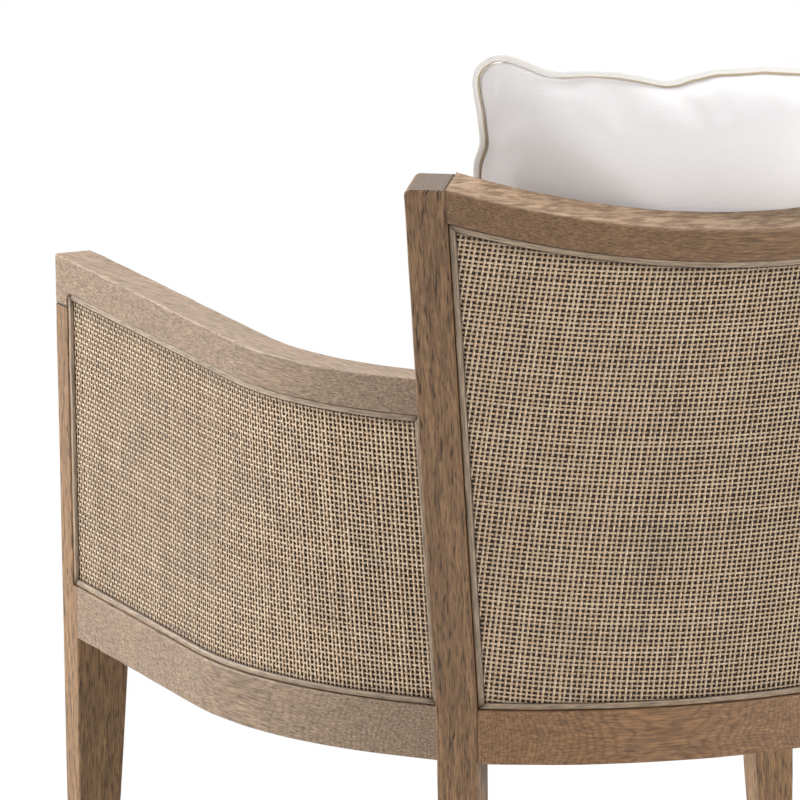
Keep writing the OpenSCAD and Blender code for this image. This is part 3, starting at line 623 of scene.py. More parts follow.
def rear_post_corners(side):
    """Rear leg and post: straight below the seat, then an arc, then straight up the lean of the back."""
    foot_y = BACK_R - (POST_D - REAR_FOOT_D) / 2
    bend_z = RAIL_TOP - POST_BEND_R * math.tan(LEAN / 2)
    arc = np.linspace(0, LEAN, 7)
    centre = BACK_R + POST_BEND_R
    inner_r = POST_BEND_R + POST_D
    taper_z = RAIL_Z - TAPER_START
    outer = [(foot_y, GLIDE_H), (BACK_R, taper_z)]
    inner = [(foot_y - REAR_FOOT_D, GLIDE_H), (BACK_R - POST_D, taper_z)]
    outer += [(centre - POST_BEND_R * math.cos(a), bend_z + POST_BEND_R * math.sin(a)) for a in arc]
    inner += [(centre - inner_r * math.cos(a), bend_z + inner_r * math.sin(a)) for a in arc]
    top_y = back_radius(POST_TOP)
    outer += [(top_y, POST_TOP)]
    inner += [(top_y - POST_D * math.cos(LEAN), POST_TOP + POST_D * math.sin(LEAN))]
    outer, inner = np.array(outer), np.array(inner)
    fine_outer, fine_inner = [], []
    for i in range(len(outer) - 1):
        count = max(1, int(np.linalg.norm(outer[i + 1] - outer[i]) / SECTION_GAP))
        u = np.linspace(0, 1, count + 1)[:-1, None]
        fine_outer.append(outer[i] + u * (outer[i + 1] - outer[i]))
        fine_inner.append(inner[i] + u * (inner[i + 1] - inner[i]))
    outer = np.concatenate(fine_outer + [outer[-1:]])
    inner = np.concatenate(fine_inner + [inner[-1:]])
    half = POST_W / 2
    turn = np.linspace(0, math.pi / 2, 6)
    drop = POST_TOP_R * (1 - np.sin(turn))
    up = np.array([math.sin(LEAN), math.cos(LEAN)])
    outer = np.concatenate([outer[:-1], outer[-1] - drop[:, None] * up])
    inner = np.concatenate([inner[:-1], inner[-1] - drop[:, None] * up])
    wide = np.full(len(outer), half)
    wide[-len(turn):] = half - POST_TOP_R * (1 - np.cos(turn))
    corners = [at_post(wide, outer[:, 0], outer[:, 1]), at_post(-half, outer[:, 0], outer[:, 1]),
               at_post(-half, inner[:, 0], inner[:, 1]), at_post(wide, inner[:, 0], inner[:, 1])]
    return mirrored(np.stack(corners, 1), side)


def arm_corners(side):
    """Arm: level run and bend along its path; at the front its underside turns down to the elbow."""
    under_front = arm_top(-LEG_STEP) - ARM_T
    fillet = np.linspace(0, math.pi / 2, 6)
    s_fillet = -LEG_STEP + ELBOW_R * (1 - np.cos(fillet))
    z_fillet = under_front - ELBOW_R * (1 - np.sin(fillet))
    s_down = np.array([-LEG_D, -(LEG_D + LEG_STEP) / 2, -LEG_STEP - 0.0003])
    s_run = np.linspace(0, path_length(ARM_PATH), 62)[1:]
    s = np.concatenate([s_down, s_fillet, s_run])
    bottom = np.concatenate([np.full(len(s_down), ELBOW_Z), z_fillet, np.zeros(len(s_run))])

    def plan(t):
        x, y = path_plan(ARM_PATH, np.maximum(s, 0), t)
        return np.where(s < 0, HALF_W - t, x), np.where(s < 0, s, y)

    (xo, yo), (xi, yi) = plan(0.0), plan(ARM_W)
    low_o = np.where(s > 0, arm_top(yo) - ARM_T, bottom)
    low_i = np.where(s > 0, arm_top(yi) - ARM_T, bottom)
    corners = [stack(xo, yo, arm_top(yo)), stack(xo, yo, low_o),
               stack(xi, yi, low_i), stack(xi, yi, arm_top(yi))]
    return mirrored(np.stack(corners, 1), side)


def end_angle(r, gap=0.0):
    """Angle at which a ring of radius r meets the inner face of a rear post, or a gap beside it."""
    return POST_ANGLE - np.arcsin((POST_W / 2 + gap) / r)


def crest_corners():
    """Crest: its top runs square to the lean from the dipping edge, its underside follows the round bar."""
    u = np.linspace(-1, 1, 81)
    a = u * JOINT_ANGLE
    z = crest_edge(a)
    rear_top = ring(a, back_radius(z), z)
    front_r = back_radius(z) - CREST_D * math.cos(LEAN)
    a_front = u * end_angle(front_r)
    z_front = crest_edge(a_front)
    front_r = back_radius(z_front) - CREST_D * math.cos(LEAN)
    front_top = ring(a_front, front_r, z_front + CREST_D * math.sin(LEAN))
    low = []
    for depth in (0.0, CREST_D):
        angle = a
        for _ in range(3):
            r = back_radius(crest_under(angle, depth)) - depth / math.cos(LEAN)
            angle = u * end_angle(r)
        low.append(ring(angle, r, crest_under(angle, depth)))
    return np.stack([rear_top, low[0], low[1], front_top], 1)


def back_rail_corners():
    """Back rail: a level ring piece between the posts."""
    u = np.linspace(-1, 1, 61)
    outer, inner = u * end_angle(BACK_R), u * end_angle(BACK_R - RAIL_T)
    r = BACK_R - RAIL_T
    corners = [ring(outer, BACK_R, RAIL_TOP), ring(outer, BACK_R, RAIL_Z), ring(inner, r, RAIL_Z),
               ring(inner, r, RAIL_TOP)]
    return np.stack(corners, 1)


def side_rail_corners(side):
    """Side rail: a level band along its path, from the front leg to the rear post."""
    s = np.linspace(0, path_length(RAIL_PATH), 61)
    (xo, yo), (xi, yi) = path_plan(RAIL_PATH, s, 0.0), path_plan(RAIL_PATH, s, RAIL_T)
    yo, yi = np.maximum(yo, 0), np.maximum(yi, 0)
    corners = [stack(xo, yo, RAIL_TOP), stack(xo, yo, RAIL_Z),
               stack(xi, yi, RAIL_Z), stack(xi, yi, RAIL_TOP)]
    return mirrored(np.stack(corners, 1), side)


def front_rail_corners():
    """Front rail: an L section, its lip as high as the deck pad."""
    x = np.linspace(LEG_W - HALF_W, HALF_W - LEG_W, 21)
    y = FRONT_RAIL_BACK - LEG_D
    profile = [(y, LIP_TOP), (y, RAIL_Z), (y + RAIL_T, RAIL_Z), (y + RAIL_T, RAIL_TOP),
               (y + FRONT_LIP, RAIL_TOP), (y + FRONT_LIP, LIP_TOP)]
    return np.stack([stack(x, py, pz) for py, pz in profile], 1)


ARRIS = 0.0014
POST_ARRIS = 0.0018
CREST_ARRIS = 0.0016
FRONT_RAIL_ARRIS = 0.0012
FOOT_EASE = 0.0012
POST_TOP_EASE = 0.0015
BUTTED = ("joint", "joint")
SIDE_PLANK = math.radians(100)

# The back rail is sawn from a plank at this angle, and its growth rings centre on a line inside that plank
RAIL_PLANK = math.radians(-13)
TREE_R = 0.22
PITH_DROP = 0.026
RAIL_PITH = (-PITH_DROP, (ARC_Y - MID_Y) * math.cos(RAIL_PLANK) + BACK_R - TREE_R)

for number, name in enumerate(SIDES):
    plank = SIDE_PLANK if name == "left" else math.pi - SIDE_PLANK
    timber(f"oak_leg_{name}", leg_corners(name), ARRIS, (FOOT_EASE, "joint"), leg_oak,
           replaces=(f"front_leg_{name}",), seed=11 + number, wear=(0.5, 0.6, 0.5, 0.2))
    timber(f"oak_post_{name}", rear_post_corners(name), POST_ARRIS, (FOOT_EASE, POST_TOP_EASE), dark_oak,
           replaces=(f"rear_post_{name}",), seed=21 + number, wear=(0.45, 0.0, 0.1, 0.3),
           ease=(1.0, 0.35, 0.35, 1.0), end_tone=0.74)
    timber(f"oak_arm_{name}", arm_corners(name), ARRIS, (ARRIS, "joint"), oak,
           replaces=(f"arm_{name}",), seed=31 + number, wear=(0.85, 0.0, 0.2, 0.5), plank=plank)
    timber(f"oak_side_rail_{name}", side_rail_corners(name), ARRIS, BUTTED, oak,
           replaces=(f"side_rail_{name}",), seed=41 + number, wear=(0.0, 0.5, 0.2, 0.0), plank=plank)
# The crest's top face is lightened with its oak's pale bleach colour: a painted sheen of the light
timber("oak_crest", crest_corners(), CREST_ARRIS, BUTTED, crest_oak, replaces=("crest_rail",),
       seed=51, wear=(0.35, 0.1, 0.1, 0.3), plank=0.0, face_sheen=(0.0, 0.0, 0.0, 0.9))
timber("oak_back_rail", back_rail_corners(), ARRIS, BUTTED, rail_oak,
       replaces=("back_rail",), seed=61, wear=(0.0, 0.4, 0.2, 0.0), plank=RAIL_PLANK, pith=RAIL_PITH)
timber("oak_front_rail", front_rail_corners(), FRONT_RAIL_ARRIS, BUTTED, oak,
       replaces=("front_rail",), seed=71)


# Panels: the back is a cone, each side a ruled surface between the rail's path and the arm's

def back_surface(a, z, depth):
    """Point in the leaning back at an angle, a height and a depth below the outer face."""
    return ring(a, back_radius(z) - depth / math.cos(LEAN), z)


def side_surface(u, v, depth):
    """Point on the straight line from the rail's path to the arm's, both at the same share u."""
    ax, ay = path_plan(RAIL_PATH, u * path_length(RAIL_PATH), depth)
    bx, by = path_plan(ARM_PATH, u * path_length(ARM_PATH), depth)
    top = arm_top(by) - ARM_T
    return stack(ax + v * (bx - ax), ay + v * (by - ay), RAIL_TOP + v * (top - RAIL_TOP))


PANEL_H = ARM_Z - ARM_T - RAIL_TOP


def back_bead(edge, w, tau):
    """Angle and height at the share tau along one edge of the back panel, set in by w."""
    low = RAIL_TOP + w
    if edge in ("bottom", "top"):
        u = 2 * tau - 1
        if edge == "bottom":
            return u * end_angle(back_radius(low) - CANE_BACK, w), low
        a = u * JOINT_ANGLE
        for _ in range(4):
            z = crest_under(a, CANE_BACK, w)
            a = u * end_angle(back_radius(z) - CANE_BACK, w)
        return a, z
    a = np.full(np.shape(tau), JOINT_ANGLE)
    for _ in range(4):
        high = crest_under(a, CANE_BACK, w)
        a = end_angle(back_radius(high) - CANE_BACK, w)
    z = low + tau * (high - low)
    a = end_angle(back_radius(z) - CANE_BACK, w)
    return (a, z) if edge == "left" else (-a, z)


def side_bead(edge, w, tau):
    """Shares u and v at the share tau along one edge of a side panel, set in by w."""
    low, high = w / PANEL_H, 1 - w / PANEL_H
    v = {"bottom": low, "top": high}.get(edge, low + tau * (high - low))
    length = path_length(RAIL_PATH) + v * (path_length(ARM_PATH) - path_length(RAIL_PATH))
    front = (w - LEG_STEP) / (length * math.cos(SPLAY))
    rear = 1 - w / length
    u = {"front": front, "rear": rear}.get(edge, front + tau * (rear - front))
    return u, v


# A bead stops MITRE_GAP short of its corner, is dark within MITRE_DARK of it, and waves by BEAD_WAVE in
# height
MITRE_GAP = 0.00025
MITRE_DARK = 0.0004
BEAD_STEP = 0.008
BEAD_WAVE = 0.00012


def bead_strip(name, place, surface, edge, length, side, seed):
    """One bead: a low rounded profile across w carried along an edge, up to the mitres at its ends."""
    # The profile: places across the bead, and how high it is there as a share of its full height
    across = BEAD * np.array([0, 0.09, 0.14, 0.24, 0.4, 0.6, 0.76, 0.87, 0.94, 1.0, 1.0, 0.5, 0.0])
    swell = np.array([0, 0.1, 0.75, 0.95, 1.0, 1.0, 0.95, 0.8, 0.45, 0, -0.1, -0.1, -0.1])
    depth = CANE_BACK - (CANE_BACK - (FRONT_BEAD_BACK if edge == "front" else BEAD_BACK)) * swell
    mitre = MITRE_GAP / length
    tau = np.linspace(mitre, 1 - mitre, max(8, int(length / BEAD_STEP)))
    T, W = np.meshgrid(tau, across, indexing="ij")
    D = np.broadcast_to(depth, T.shape)
    rounded = D + BEAD_WAVE * (wobble(T * length, seed, 1.0) - 1)
    points = mirrored(surface(*place(edge, W, T), rounded), side)
    rings, around = T.shape
    run = T * length
    grain = np.stack([run, W, D], -1) + np.random.default_rng(seed).uniform(0, 4, 3)
    # Low edges beside frame and cane take the joint colour: painted shade in those gaps, faint on the front
    # bead
    gap_shade = np.broadcast_to(np.where(swell < 0.5, 0.1 if edge == "front" else 0.9, 0.0), T.shape)
    ends = 0.5 * (np.minimum(T, 1 - T) * length < MITRE_DARK)
    data = {"grain": ("FLOAT_VECTOR", grain.reshape(-1, 3)),
            "wear_and_sheen": ("FLOAT", np.broadcast_to(0.5 * (swell > 0.8) * (swell < 0.99), T.shape).ravel()),
            "joint": ("FLOAT", np.maximum(gap_shade, ends).ravel())}
    flat = points.reshape(-1, 3)
    mesh = make_mesh(name, flat, outward(flat, tube_faces(rings, around)), data)
    return add_piece(name, mesh, bead_oak, "chair_frame")


BACK_W = 2 * end_angle(BACK_R) * back_radius(CREST_Z)
for number, edge in enumerate(("bottom", "left", "top", "right")):
    long = BACK_W if edge in ("bottom", "top") else CREST_Z - RAIL_TOP
    strip = bead_strip(f"back_bead_{edge}", back_bead, back_surface, edge, long, "left", 80 + number)
    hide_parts("back_beads")
for name in SIDES:
    for number, edge in enumerate(("bottom", "front", "top", "rear")):
        long = path_length(ARM_PATH) if edge in ("bottom", "top") else PANEL_H
        strip = bead_strip(f"side_bead_{name}_{edge}", side_bead, side_surface, edge, long, name,
                           90 + number + 10 * SIDES[name])
        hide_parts(f"side_beads_{name}")


# Woven cane

# The cane is darker beside the upper and lower beads, a painted shade with some dirt on the cane ends, and
# this fades over the two distances. At the lower bead it starts at FOOT_SHADE.
SHADE_REACH = 0.0035
FOOT_SHADE, FOOT_REACH = 0.6, 0.003

# How uneven the weave is: shares of a strand's width, shares of the pitch, and metres of height
WIDTH_SPREAD = 0.08
LANE_DRIFT, LANE_SPREAD = 0.035, 0.05
HEIGHT_SPREAD = 0.00004


def near_bead(points):
    """1 at the bead over a panel, falling to 0 in a few millimetres: painted shade, with some dirt on the
    cane ends.
    """
    x, y, z = np.abs(points[..., 0]), points[..., 1] + MID_Y, points[..., 2]
    a = np.arctan2(x, y - ARC_Y)
    crest = crest_under(np.clip(a, 0, JOINT_ANGLE), CANE_MID, BEAD)
    top = np.where(a < JOINT_ANGLE, crest, arm_top(y) - ARM_T - BEAD)
    foot = FOOT_SHADE * np.exp(-np.maximum(z - RAIL_TOP - BEAD, 0) / FOOT_REACH)
    return np.maximum(np.exp(-np.maximum(top - z, 0) / SHADE_REACH), foot)


def strand_faces(inside):
    """Quads of strands of four-cornered sections: walls between sections inside, and a cap at each end."""
    strands, stations = inside.shape
    index = np.arange(strands * stations).reshape(strands, stations) * 4
    pair = inside[:, :-1] & inside[:, 1:]
    a, b = index[:, :-1][pair], index[:, 1:][pair]
    walls = [np.stack([a + j, a + (j + 1) % 4, b + (j + 1) % 4, b + j], -1) for j in range(4)]
    padded = np.pad(inside, ((0, 0), (1, 1)))
    first = index[inside & ~padded[:, :-2] & padded[:, 2:]]
    last = index[inside & ~padded[:, 2:] & padded[:, :-2]]
    caps = [np.stack([first + 3, first + 2, first + 1, first], -1),
            np.stack([last, last + 1, last + 2, last + 3], -1)]
    return np.concatenate(walls + caps)


def weave(name, surface, keep, across_count, along_count, flip, side, seed, wide, proud, replaces=()):
    """Every strand of one direction of a plain weave, as one mesh.
    A strand has two stations for each crossing: over, level, under, level. Its section is a flat lozenge.
    surface(i, j, depth) takes crossing numbers across and along. keep(points) says what is in the panel.
    wide is a strand's width as a share of the pitch, and proud is how far it stands out on average."""
    r = np.random.default_rng(seed)
    k = np.arange(across_count)[:, None]
    h = np.arange(2 * along_count - 1)[None, :]
    phase = (k + flip) % 2
    rise = CANE_WAVE * np.cos(math.pi * (h / 2 + phase))
    width = wide / 2 * (1 + WIDTH_SPREAD * r.standard_normal(across_count))[:, None]
    drift = LANE_DRIFT * r.standard_normal((across_count, along_count // 6 + 3))
    knots = np.linspace(0, drift.shape[1] - 1.001, h.shape[1])
    low = knots.astype(int)
    share = knots - low
    lane = k + drift[:, low] * (1 - share) + drift[:, low + 1] * share
    lane = lane + LANE_SPREAD * r.standard_normal(across_count)[:, None]
    height = rise + proud + HEIGHT_SPREAD * r.standard_normal(rise.shape)
    along = np.broadcast_to(h / 2.0, rise.shape)
    section = [(-1, 0.0), (0, 1.0), (1, 0.0), (0, -1.0)]
    rows = [surface(lane + a * width, along, CANE_MID - height - b * CANE_THICK / 2) for a, b in section]
    points = np.stack(rows, 2)
    used, packed = np.unique(strand_faces(keep(points.mean(2))), return_inverse=True)
    quads = packed.reshape(-1, 4)
    flat = mirrored(points.reshape(-1, 3)[used], side)
    tone = np.broadcast_to(r.random(across_count)[:, None], rise.shape)
    near = near_bead(points.mean(2))
    facts = {"tone": tone, "run": along * CANE_PITCH, "over": rise / CANE_WAVE, "near": near}
    data = {}
    for key, values in facts.items():
        spread = np.broadcast_to(values[..., None], points.shape[:3])
        data[key] = ("FLOAT", spread.reshape(-1)[used])
    mesh = make_mesh(name, flat, outward(flat, [quads]), data)
    return add_piece(name, mesh, cane, "chair_frame", replaces)


def cane_material():
    """Cane skin: each strand has its own tone, which drifts along it, with knots, painted shade in its
    hollows and a painted highlight where it lies over its neighbours.
    """
    made, t, shader = new_material("cane", linear("#bfa27b"))
    tone, run, over = t.attribute("tone"), t.attribute("run"), t.attribute("over")

    # The strand's tone and its drift along the strand choose a colour between dark skin and light
    strand = {0: t.math("MULTIPLY", run, 28.0), 1: t.math("MULTIPLY", tone, 91.0), 2: 0.0}
    place = t.add("ShaderNodeCombineXYZ", strand)
    drift = t.noise(place, 3.0, 0.6)
    fine = t.noise(t.vector("MULTIPLY", place, (9, 1, 1)), 2.0, 0.6)
    ramp = t.tree.nodes.new("ShaderNodeValToRGB")
    stops = [(0.0, "#7d634d"), (0.16, "#a58466"), (0.36, "#bd9a79"), (0.58, "#cdac8b"), (0.8, "#dcc1a1"),
             (0.92, "#b9855c"), (1.0, "#a86c46")]
    while len(ramp.color_ramp.elements) < len(stops):
        ramp.color_ramp.elements.new(0.5)
    for element, (place_at, code) in zip(ramp.color_ramp.elements, stops):
        element.position, element.color = place_at, linear(code)
    wide = t.add("ShaderNodeMapRange", {"Value": drift, "From Min": 0.28, "From Max": 0.72})
    mixed = t.math("ADD", t.math("MULTIPLY", tone, 0.28), t.math("MULTIPLY", wide, 0.72))
    t.tree.links.new(mixed, ramp.inputs[0])

    # Grey patches over the whole panel
    coords = t.add("ShaderNodeTexCoord", out="Object")
    patch = t.noise(t.vector("MULTIPLY", coords, (16, 16, 22)), 3.0, 0.65)
    weathered = t.math("MULTIPLY", t.ramp(patch, 0.52, 0.72), 0.4)
    shade = t.math("ADD", weathered, t.math("MULTIPLY", t.ramp(fine, 0.5, 0.75), 0.25))
    grey = t.mix(shade, ramp.outputs[0], linear("#8c7963"))

    # Painted highlight where a strand lies over its neighbours; painted shade where it dives and beside the
    # beads
    high = t.ramp(over, -0.4, 1.0)
    colour = t.mix(t.math("MULTIPLY", high, 0.44), grey, linear("#f6e8ce"))
    low = t.ramp(over, 0.2, -0.9)
    painted_shade_and_dirt = t.math("MAXIMUM", t.math("MULTIPLY", low, 0.35), t.math("MULTIPLY", t.attribute("near"), 0.7))
    colour = t.mix(painted_shade_and_dirt, colour, linear("#4e3b2a"))
    t.tree.links.new(colour, shader.inputs["Base Color"])
    rough = t.math("ADD", t.math("MULTIPLY", fine, 0.25), 0.35)
    t.tree.links.new(rough, shader.inputs["Roughness"])
    shader.inputs["Specular IOR Level"].default_value = 0.4
    bump(t, shader, fine, 0.0002, 0.5)
    return made


cane = cane_material()

# The back's cane is a flat sheet rolled onto the cone, so its rows and columns stay straight when unrolled.
# Its columns lean and bend over sideways a little towards the top, which SHEAR and SHEAR_BEND say.
CONE_SIN = math.sin(LEAN)
SHEAR, SHEAR_BEND = 0.026, 0.11
BACK_COLUMN = 0.00425
BACK_ROW = 0.0040
BACK_COLUMNS = 160
BACK_ROWS = 122
ROWS_BELOW = 10
CANE_HIDDEN = 0.004


def rolled_sheet(p, q, depth):
    """Point of the rolled sheet: p across and q up from the rail, both flat; polar about the cone's tip."""
    r0 = BACK_R - depth / math.cos(LEAN)
    p = p - SHEAR * q - SHEAR_BEND * q * q
    tip = r0 / CONE_SIN
    rho = np.hypot(p, q + tip)
    r = rho * CONE_SIN
    z = RAIL_TOP + (r - r0) / math.tan(LEAN)
    return ring(np.arctan2(p, q + tip) / CONE_SIN, r, z)


def in_back(points):
    """True for points between posts, rail and crest, and a little way under the beads."""
    x, y, z = points[..., 0], points[..., 1] + MID_Y - ARC_Y, points[..., 2]
    a, r = np.arctan2(x, y), np.hypot(x, y)
    under = crest_under(np.clip(a, -JOINT_ANGLE, JOINT_ANGLE), CANE_MID, CANE_HIDDEN)
    return (np.abs(a) < end_angle(r, CANE_HIDDEN)) & (z > RAIL_TOP + CANE_HIDDEN) & (z < under)


def back_cell(i, j, depth):
    """Column i and row j of the back's weave, counted from its left edge and from below the rail."""
    return rolled_sheet((i - BACK_COLUMNS / 2) * BACK_COLUMN, (j - ROWS_BELOW) * BACK_ROW, depth)


def crossed(cell):
    """The same weave for its rows, which count along the columns: i and j change places."""
    return lambda i, j, depth: cell(j, i, depth)


weave("cane_back_columns", back_cell, in_back, BACK_COLUMNS, BACK_ROWS, 0, "left", 301,
      wide=0.42, proud=0.0, replaces=("back_cane",))
weave("cane_back_rows", crossed(back_cell), in_back, BACK_ROWS, BACK_COLUMNS, 1, "left", 302,
      wide=0.45, proud=0.0, replaces=("back_cane",))

SIDE_LENGTH = (path_length(RAIL_PATH) + path_length(ARM_PATH)) / 2
SIDE_COLUMNS = int((SIDE_LENGTH + LEG_STEP) / CANE_PITCH)
SIDE_ROWS = int(PANEL_H / CANE_PITCH)


def in_side(points):
    """True for every point: a side's weave is laid out to fit its panel."""
    return np.ones(points.shape[:-1], bool)


def side_cell(i, j, depth):
    """Column i and row j of a side's weave, spread evenly between the beads' hidden edges."""
    front = -LEG_STEP + CANE_HIDDEN
    s = front + (SIDE_LENGTH - CANE_HIDDEN - front) * i / (SIDE_COLUMNS - 1)
    v = (CANE_HIDDEN + (PANEL_H - 2 * CANE_HIDDEN) * j / (SIDE_ROWS - 1)) / PANEL_H
    return side_surface(s / SIDE_LENGTH, v, depth)


for name in SIDES:
    weave(f"cane_{name}_columns", side_cell, in_side, SIDE_COLUMNS, SIDE_ROWS, 0, name, 311,
          wide=0.50, proud=0.00022, replaces=(f"side_cane_{name}",))
    weave(f"cane_{name}_rows", crossed(side_cell), in_side, SIDE_ROWS, SIDE_COLUMNS, 1, name, 312,
          wide=0.44, proud=-0.00018, replaces=(f"side_cane_{name}",))


# Lining boards: bent boards that close the panels behind the cane

# Their dark face lies LINING_BACK below the rails' outer faces
LINING_BACK = 0.0052
LINING_T = 0.0038
LINING_GAP = 0.0003


def lining_material():
    """Bent board: near black on its face behind the cane, a painted shade that shows in the cane's holes,
    and plain oak veneer on its face towards the seat.
    The face is told by its normal: whether it points away from the barrel's axis. The grain runs upwards."""
    made, t, shader = new_material("lining_board", linear("#241a13"))
    coords = t.add("ShaderNodeTexCoord", out="Object")
    parts = t.tree.nodes.new("ShaderNodeSeparateXYZ")
    t.tree.links.new(t.attribute("grain", "Vector"), parts.inputs[0])
    grain = t.add("ShaderNodeCombineXYZ", {0: parts.outputs[2], 1: parts.outputs[0], 2: parts.outputs[1]})
    finishes = []
    veneer = ("#8d6c4b", "#7a5b3c", "#5f432a", "#2f1d10")
    # Near-black face behind the cane: painted shade for the holes of the weave
    painted_hole_shade = ("#2c2018", "#241a13", "#1c140e", "#140e0a")
    for codes in (veneer, painted_hole_shade):
        shades = dict(zip(("Pale", "Mid", "Dark", "Pore"), [linear(code) for code in codes]))
        finishes.append(place_group(t, OAK_GRAIN, {
            "Grain": grain, "Wear And Sheen": 0.0, "Joint And Shade": 0.0, "Bleach And Sheen": shades["Pale"], "Pore Amount": 0.6,
            "Ring Rate": 1900.0, "Ring Amount": 0.2, **shades}))
    from_axis = t.vector("MULTIPLY", t.vector("SUBTRACT", coords, (0, ARC_Y - MID_Y, 0)), (1, 1, 0))
    normal = t.add("ShaderNodeNewGeometry", out="Normal")
    facing = t.add("ShaderNodeVectorMath", {0: normal, 1: from_axis}, out="Value", operation="DOT_PRODUCT")
    colour = t.mix(t.ramp(facing, -0.02, 0.02), finishes[0]["Color"], finishes[1]["Color"])
    t.tree.links.new(colour, shader.inputs["Base Color"])
    t.tree.links.new(finishes[0]["Roughness"], shader.inputs["Roughness"])
    bump(t, shader, finishes[0]["Height"], 0.0003, 0.5)
    return made


def back_lining_corners():
    """Back board: on the cone between two depths, from the rail up to the crest and from post to post."""
    u = np.linspace(-1, 1, 61)
    low, high = [], []
    for depth in (LINING_BACK, LINING_BACK + LINING_T):
        inset = depth / math.cos(LEAN)
        z = RAIL_TOP + LINING_GAP
        low.append(back_surface(u * end_angle(back_radius(z) - inset, LINING_GAP), z, depth))
        a = u * JOINT_ANGLE
        for _ in range(4):
            z = crest_under(a, depth, LINING_GAP)
            a = u * end_angle(back_radius(z) - inset, LINING_GAP)
        high.append(back_surface(a, z, depth))
    return np.stack([low[0], low[1], high[1], high[0]], 1)


def side_lining_corners(side):
    """Side board: on the ruled surface between two depths, its rear end cut to the post's slanted face."""
    slant = math.tan(SIDE_END - (math.pi / 2 - POST_ANGLE))
    u = np.linspace(0, 1, 61)
    rows = []
    for v, depth in ((0, 0), (0, 1), (1, 1), (1, 0)):
        deep = LINING_BACK + depth * LINING_T
        length = path_length(ARM_PATH if v else RAIL_PATH)
        front = (LINING_GAP - LEG_STEP) / (length * math.cos(SPLAY))
        rear = 1 - (abs(slant) * deep + LINING_GAP) / length
        up = LINING_GAP / PANEL_H
        rows.append(side_surface(front + u * (rear - front), up + v * (1 - 2 * up), deep))
    return mirrored(np.stack(rows, 1), side)


lining_board = lining_material()
BOARD_ARRIS = 0.0004
BOARD_ENDS = (BOARD_ARRIS, BOARD_ARRIS)
timber("board_back", back_lining_corners(), BOARD_ARRIS, BOARD_ENDS, lining_board,
       replaces=("back_lining",), seed=401)
for number, name in enumerate(SIDES):
    timber(f"board_{name}", side_lining_corners(name), BOARD_ARRIS, BOARD_ENDS, lining_board,
           replaces=(f"side_lining_{name}",), seed=402 + number)


# Finishes of the carried-over nodes

def plain_material(name, code, second, scale, rough, height=0.0002, metallic=0.0):
    """A matt or metal finish with mottling and a fine grain in Object coordinates."""
    made, t, shader = new_material(name, linear(code))
    coords = t.add("ShaderNodeTexCoord", out="Object")
    coarse = t.noise(t.vector("MULTIPLY", coords, (scale / 12, scale / 12, scale / 12)), 3.0, 0.6)
    fine = t.noise(t.vector("MULTIPLY", coords, (scale, scale, scale)), 3.0, 0.65)
    both = t.math("ADD", t.math("MULTIPLY", coarse, 0.5), t.math("MULTIPLY", fine, 0.5))
    colour = t.mix(t.ramp(both, 0.38, 0.62), linear(code), linear(second))
    t.tree.links.new(colour, shader.inputs["Base Color"])
    level = t.math("ADD", t.math("MULTIPLY", fine, 0.2), rough - 0.1)
    t.tree.links.new(level, shader.inputs["Roughness"])
    shader.inputs["Metallic"].default_value = metallic
    bump(t, shader, fine, height, 0.7)
    return made


steel = plain_material("screw_steel", "#c3c2be", "#a4a39f", 900, 0.35, 0.00005, 1.0)
strap_cloth = plain_material("strap_cloth", "#5a5654", "#484543", 1500, 0.85)
felt = plain_material("felt", "#cfcbc2", "#bcb7ac", 700, 0.95, 0.0004)
dust_cloth = plain_material("dust_cloth", "#262626", "#1c1c1c", 1800, 0.9)
glide_felt = plain_material("glide_felt", "#6a625a", "#57504a", 1200, 0.95, 0.0003)

FINISH = {
    "front_corner_blocks": inner_wood, "rear_corner_blocks": inner_wood, "seat_dowels": inner_wood,
    "arm_dowels": inner_wood, "crest_dowels": inner_wood, "corner_screws": steel,
    "webbing_lengthwise": strap_cloth, "webbing_crosswise": strap_cloth, "deck_pad": felt,
    "dust_cover": dust_cloth, "floor_glides": glide_felt,
}
for node_name, finish in FINISH.items():
    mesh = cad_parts[node_name].data
    if mesh.materials:
        mesh.materials[0] = finish
    else:
        mesh.materials.append(finish)


# Cushions

# The seat cushion: a boxed side of SEAT_BOX under a crown, about a middle SEAT_MID behind the front legs
PIPING = 0.008
CUSHION_GAP = 0.003
SEAT_MID = 0.262
SEAT_BOX = 0.098
SEAT_CROWN = 0.024
CROWN_POWER = 2.4
SEAT_POWER = 24

# The back cushion: its width and height, how deep it is in front of and behind its seam, how much its
# edges are pulled in between the ears, and how much thinner it is at the corners
BACK_CUSHION = (0.416, 0.396)
BACK_FRONT = 0.110
BACK_REAR = 0.056
EDGE_PULL = 0.045
CORNER_THIN = 0.88
BACK_POWER = 20

# The back cushion leans a degree more than the back, and its bend follows the crest's inner face
BACK_TURN = math.pi / 2 - LEAN - math.radians(1)
BARREL_R = back_radius(CREST_Z) - CREST_D / math.cos(LEAN)


def rim(edges, power, a):
    """Seam line in polar form: a blend of straight edges (normal angle, distance) at a power."""
    total = sum((np.maximum(np.cos(a - math.radians(n)), 0) / d) ** power for n, d in edges)
    return total ** (-1 / power)


# How far the back cushion's seam stands out or sags, in millimetres at degrees round its rim. A
# projection of seam points, which were read in the photo, gave the sags, and they are rounded here.
# The stretch that the photo hides is a guess without folds.
SLUMP = {-20: 0, 20: 1, 28: 1, 32: -5, 36: -2, 40: 5, 43: 3, 45: 3, 46.5: 0, 48: -12, 49.5: -14,
         54: -10, 58: -9, 62: -11, 66: -14, 69: -12, 72: -7, 78: -1, 90: 0, 97: -4, 104: -9, 114: -7,
         122: -12, 129: -10, 132: 1, 137: 4, 140: 4, 145: -4, 150: 1, 162: 0, 200: 0, 340: 0}


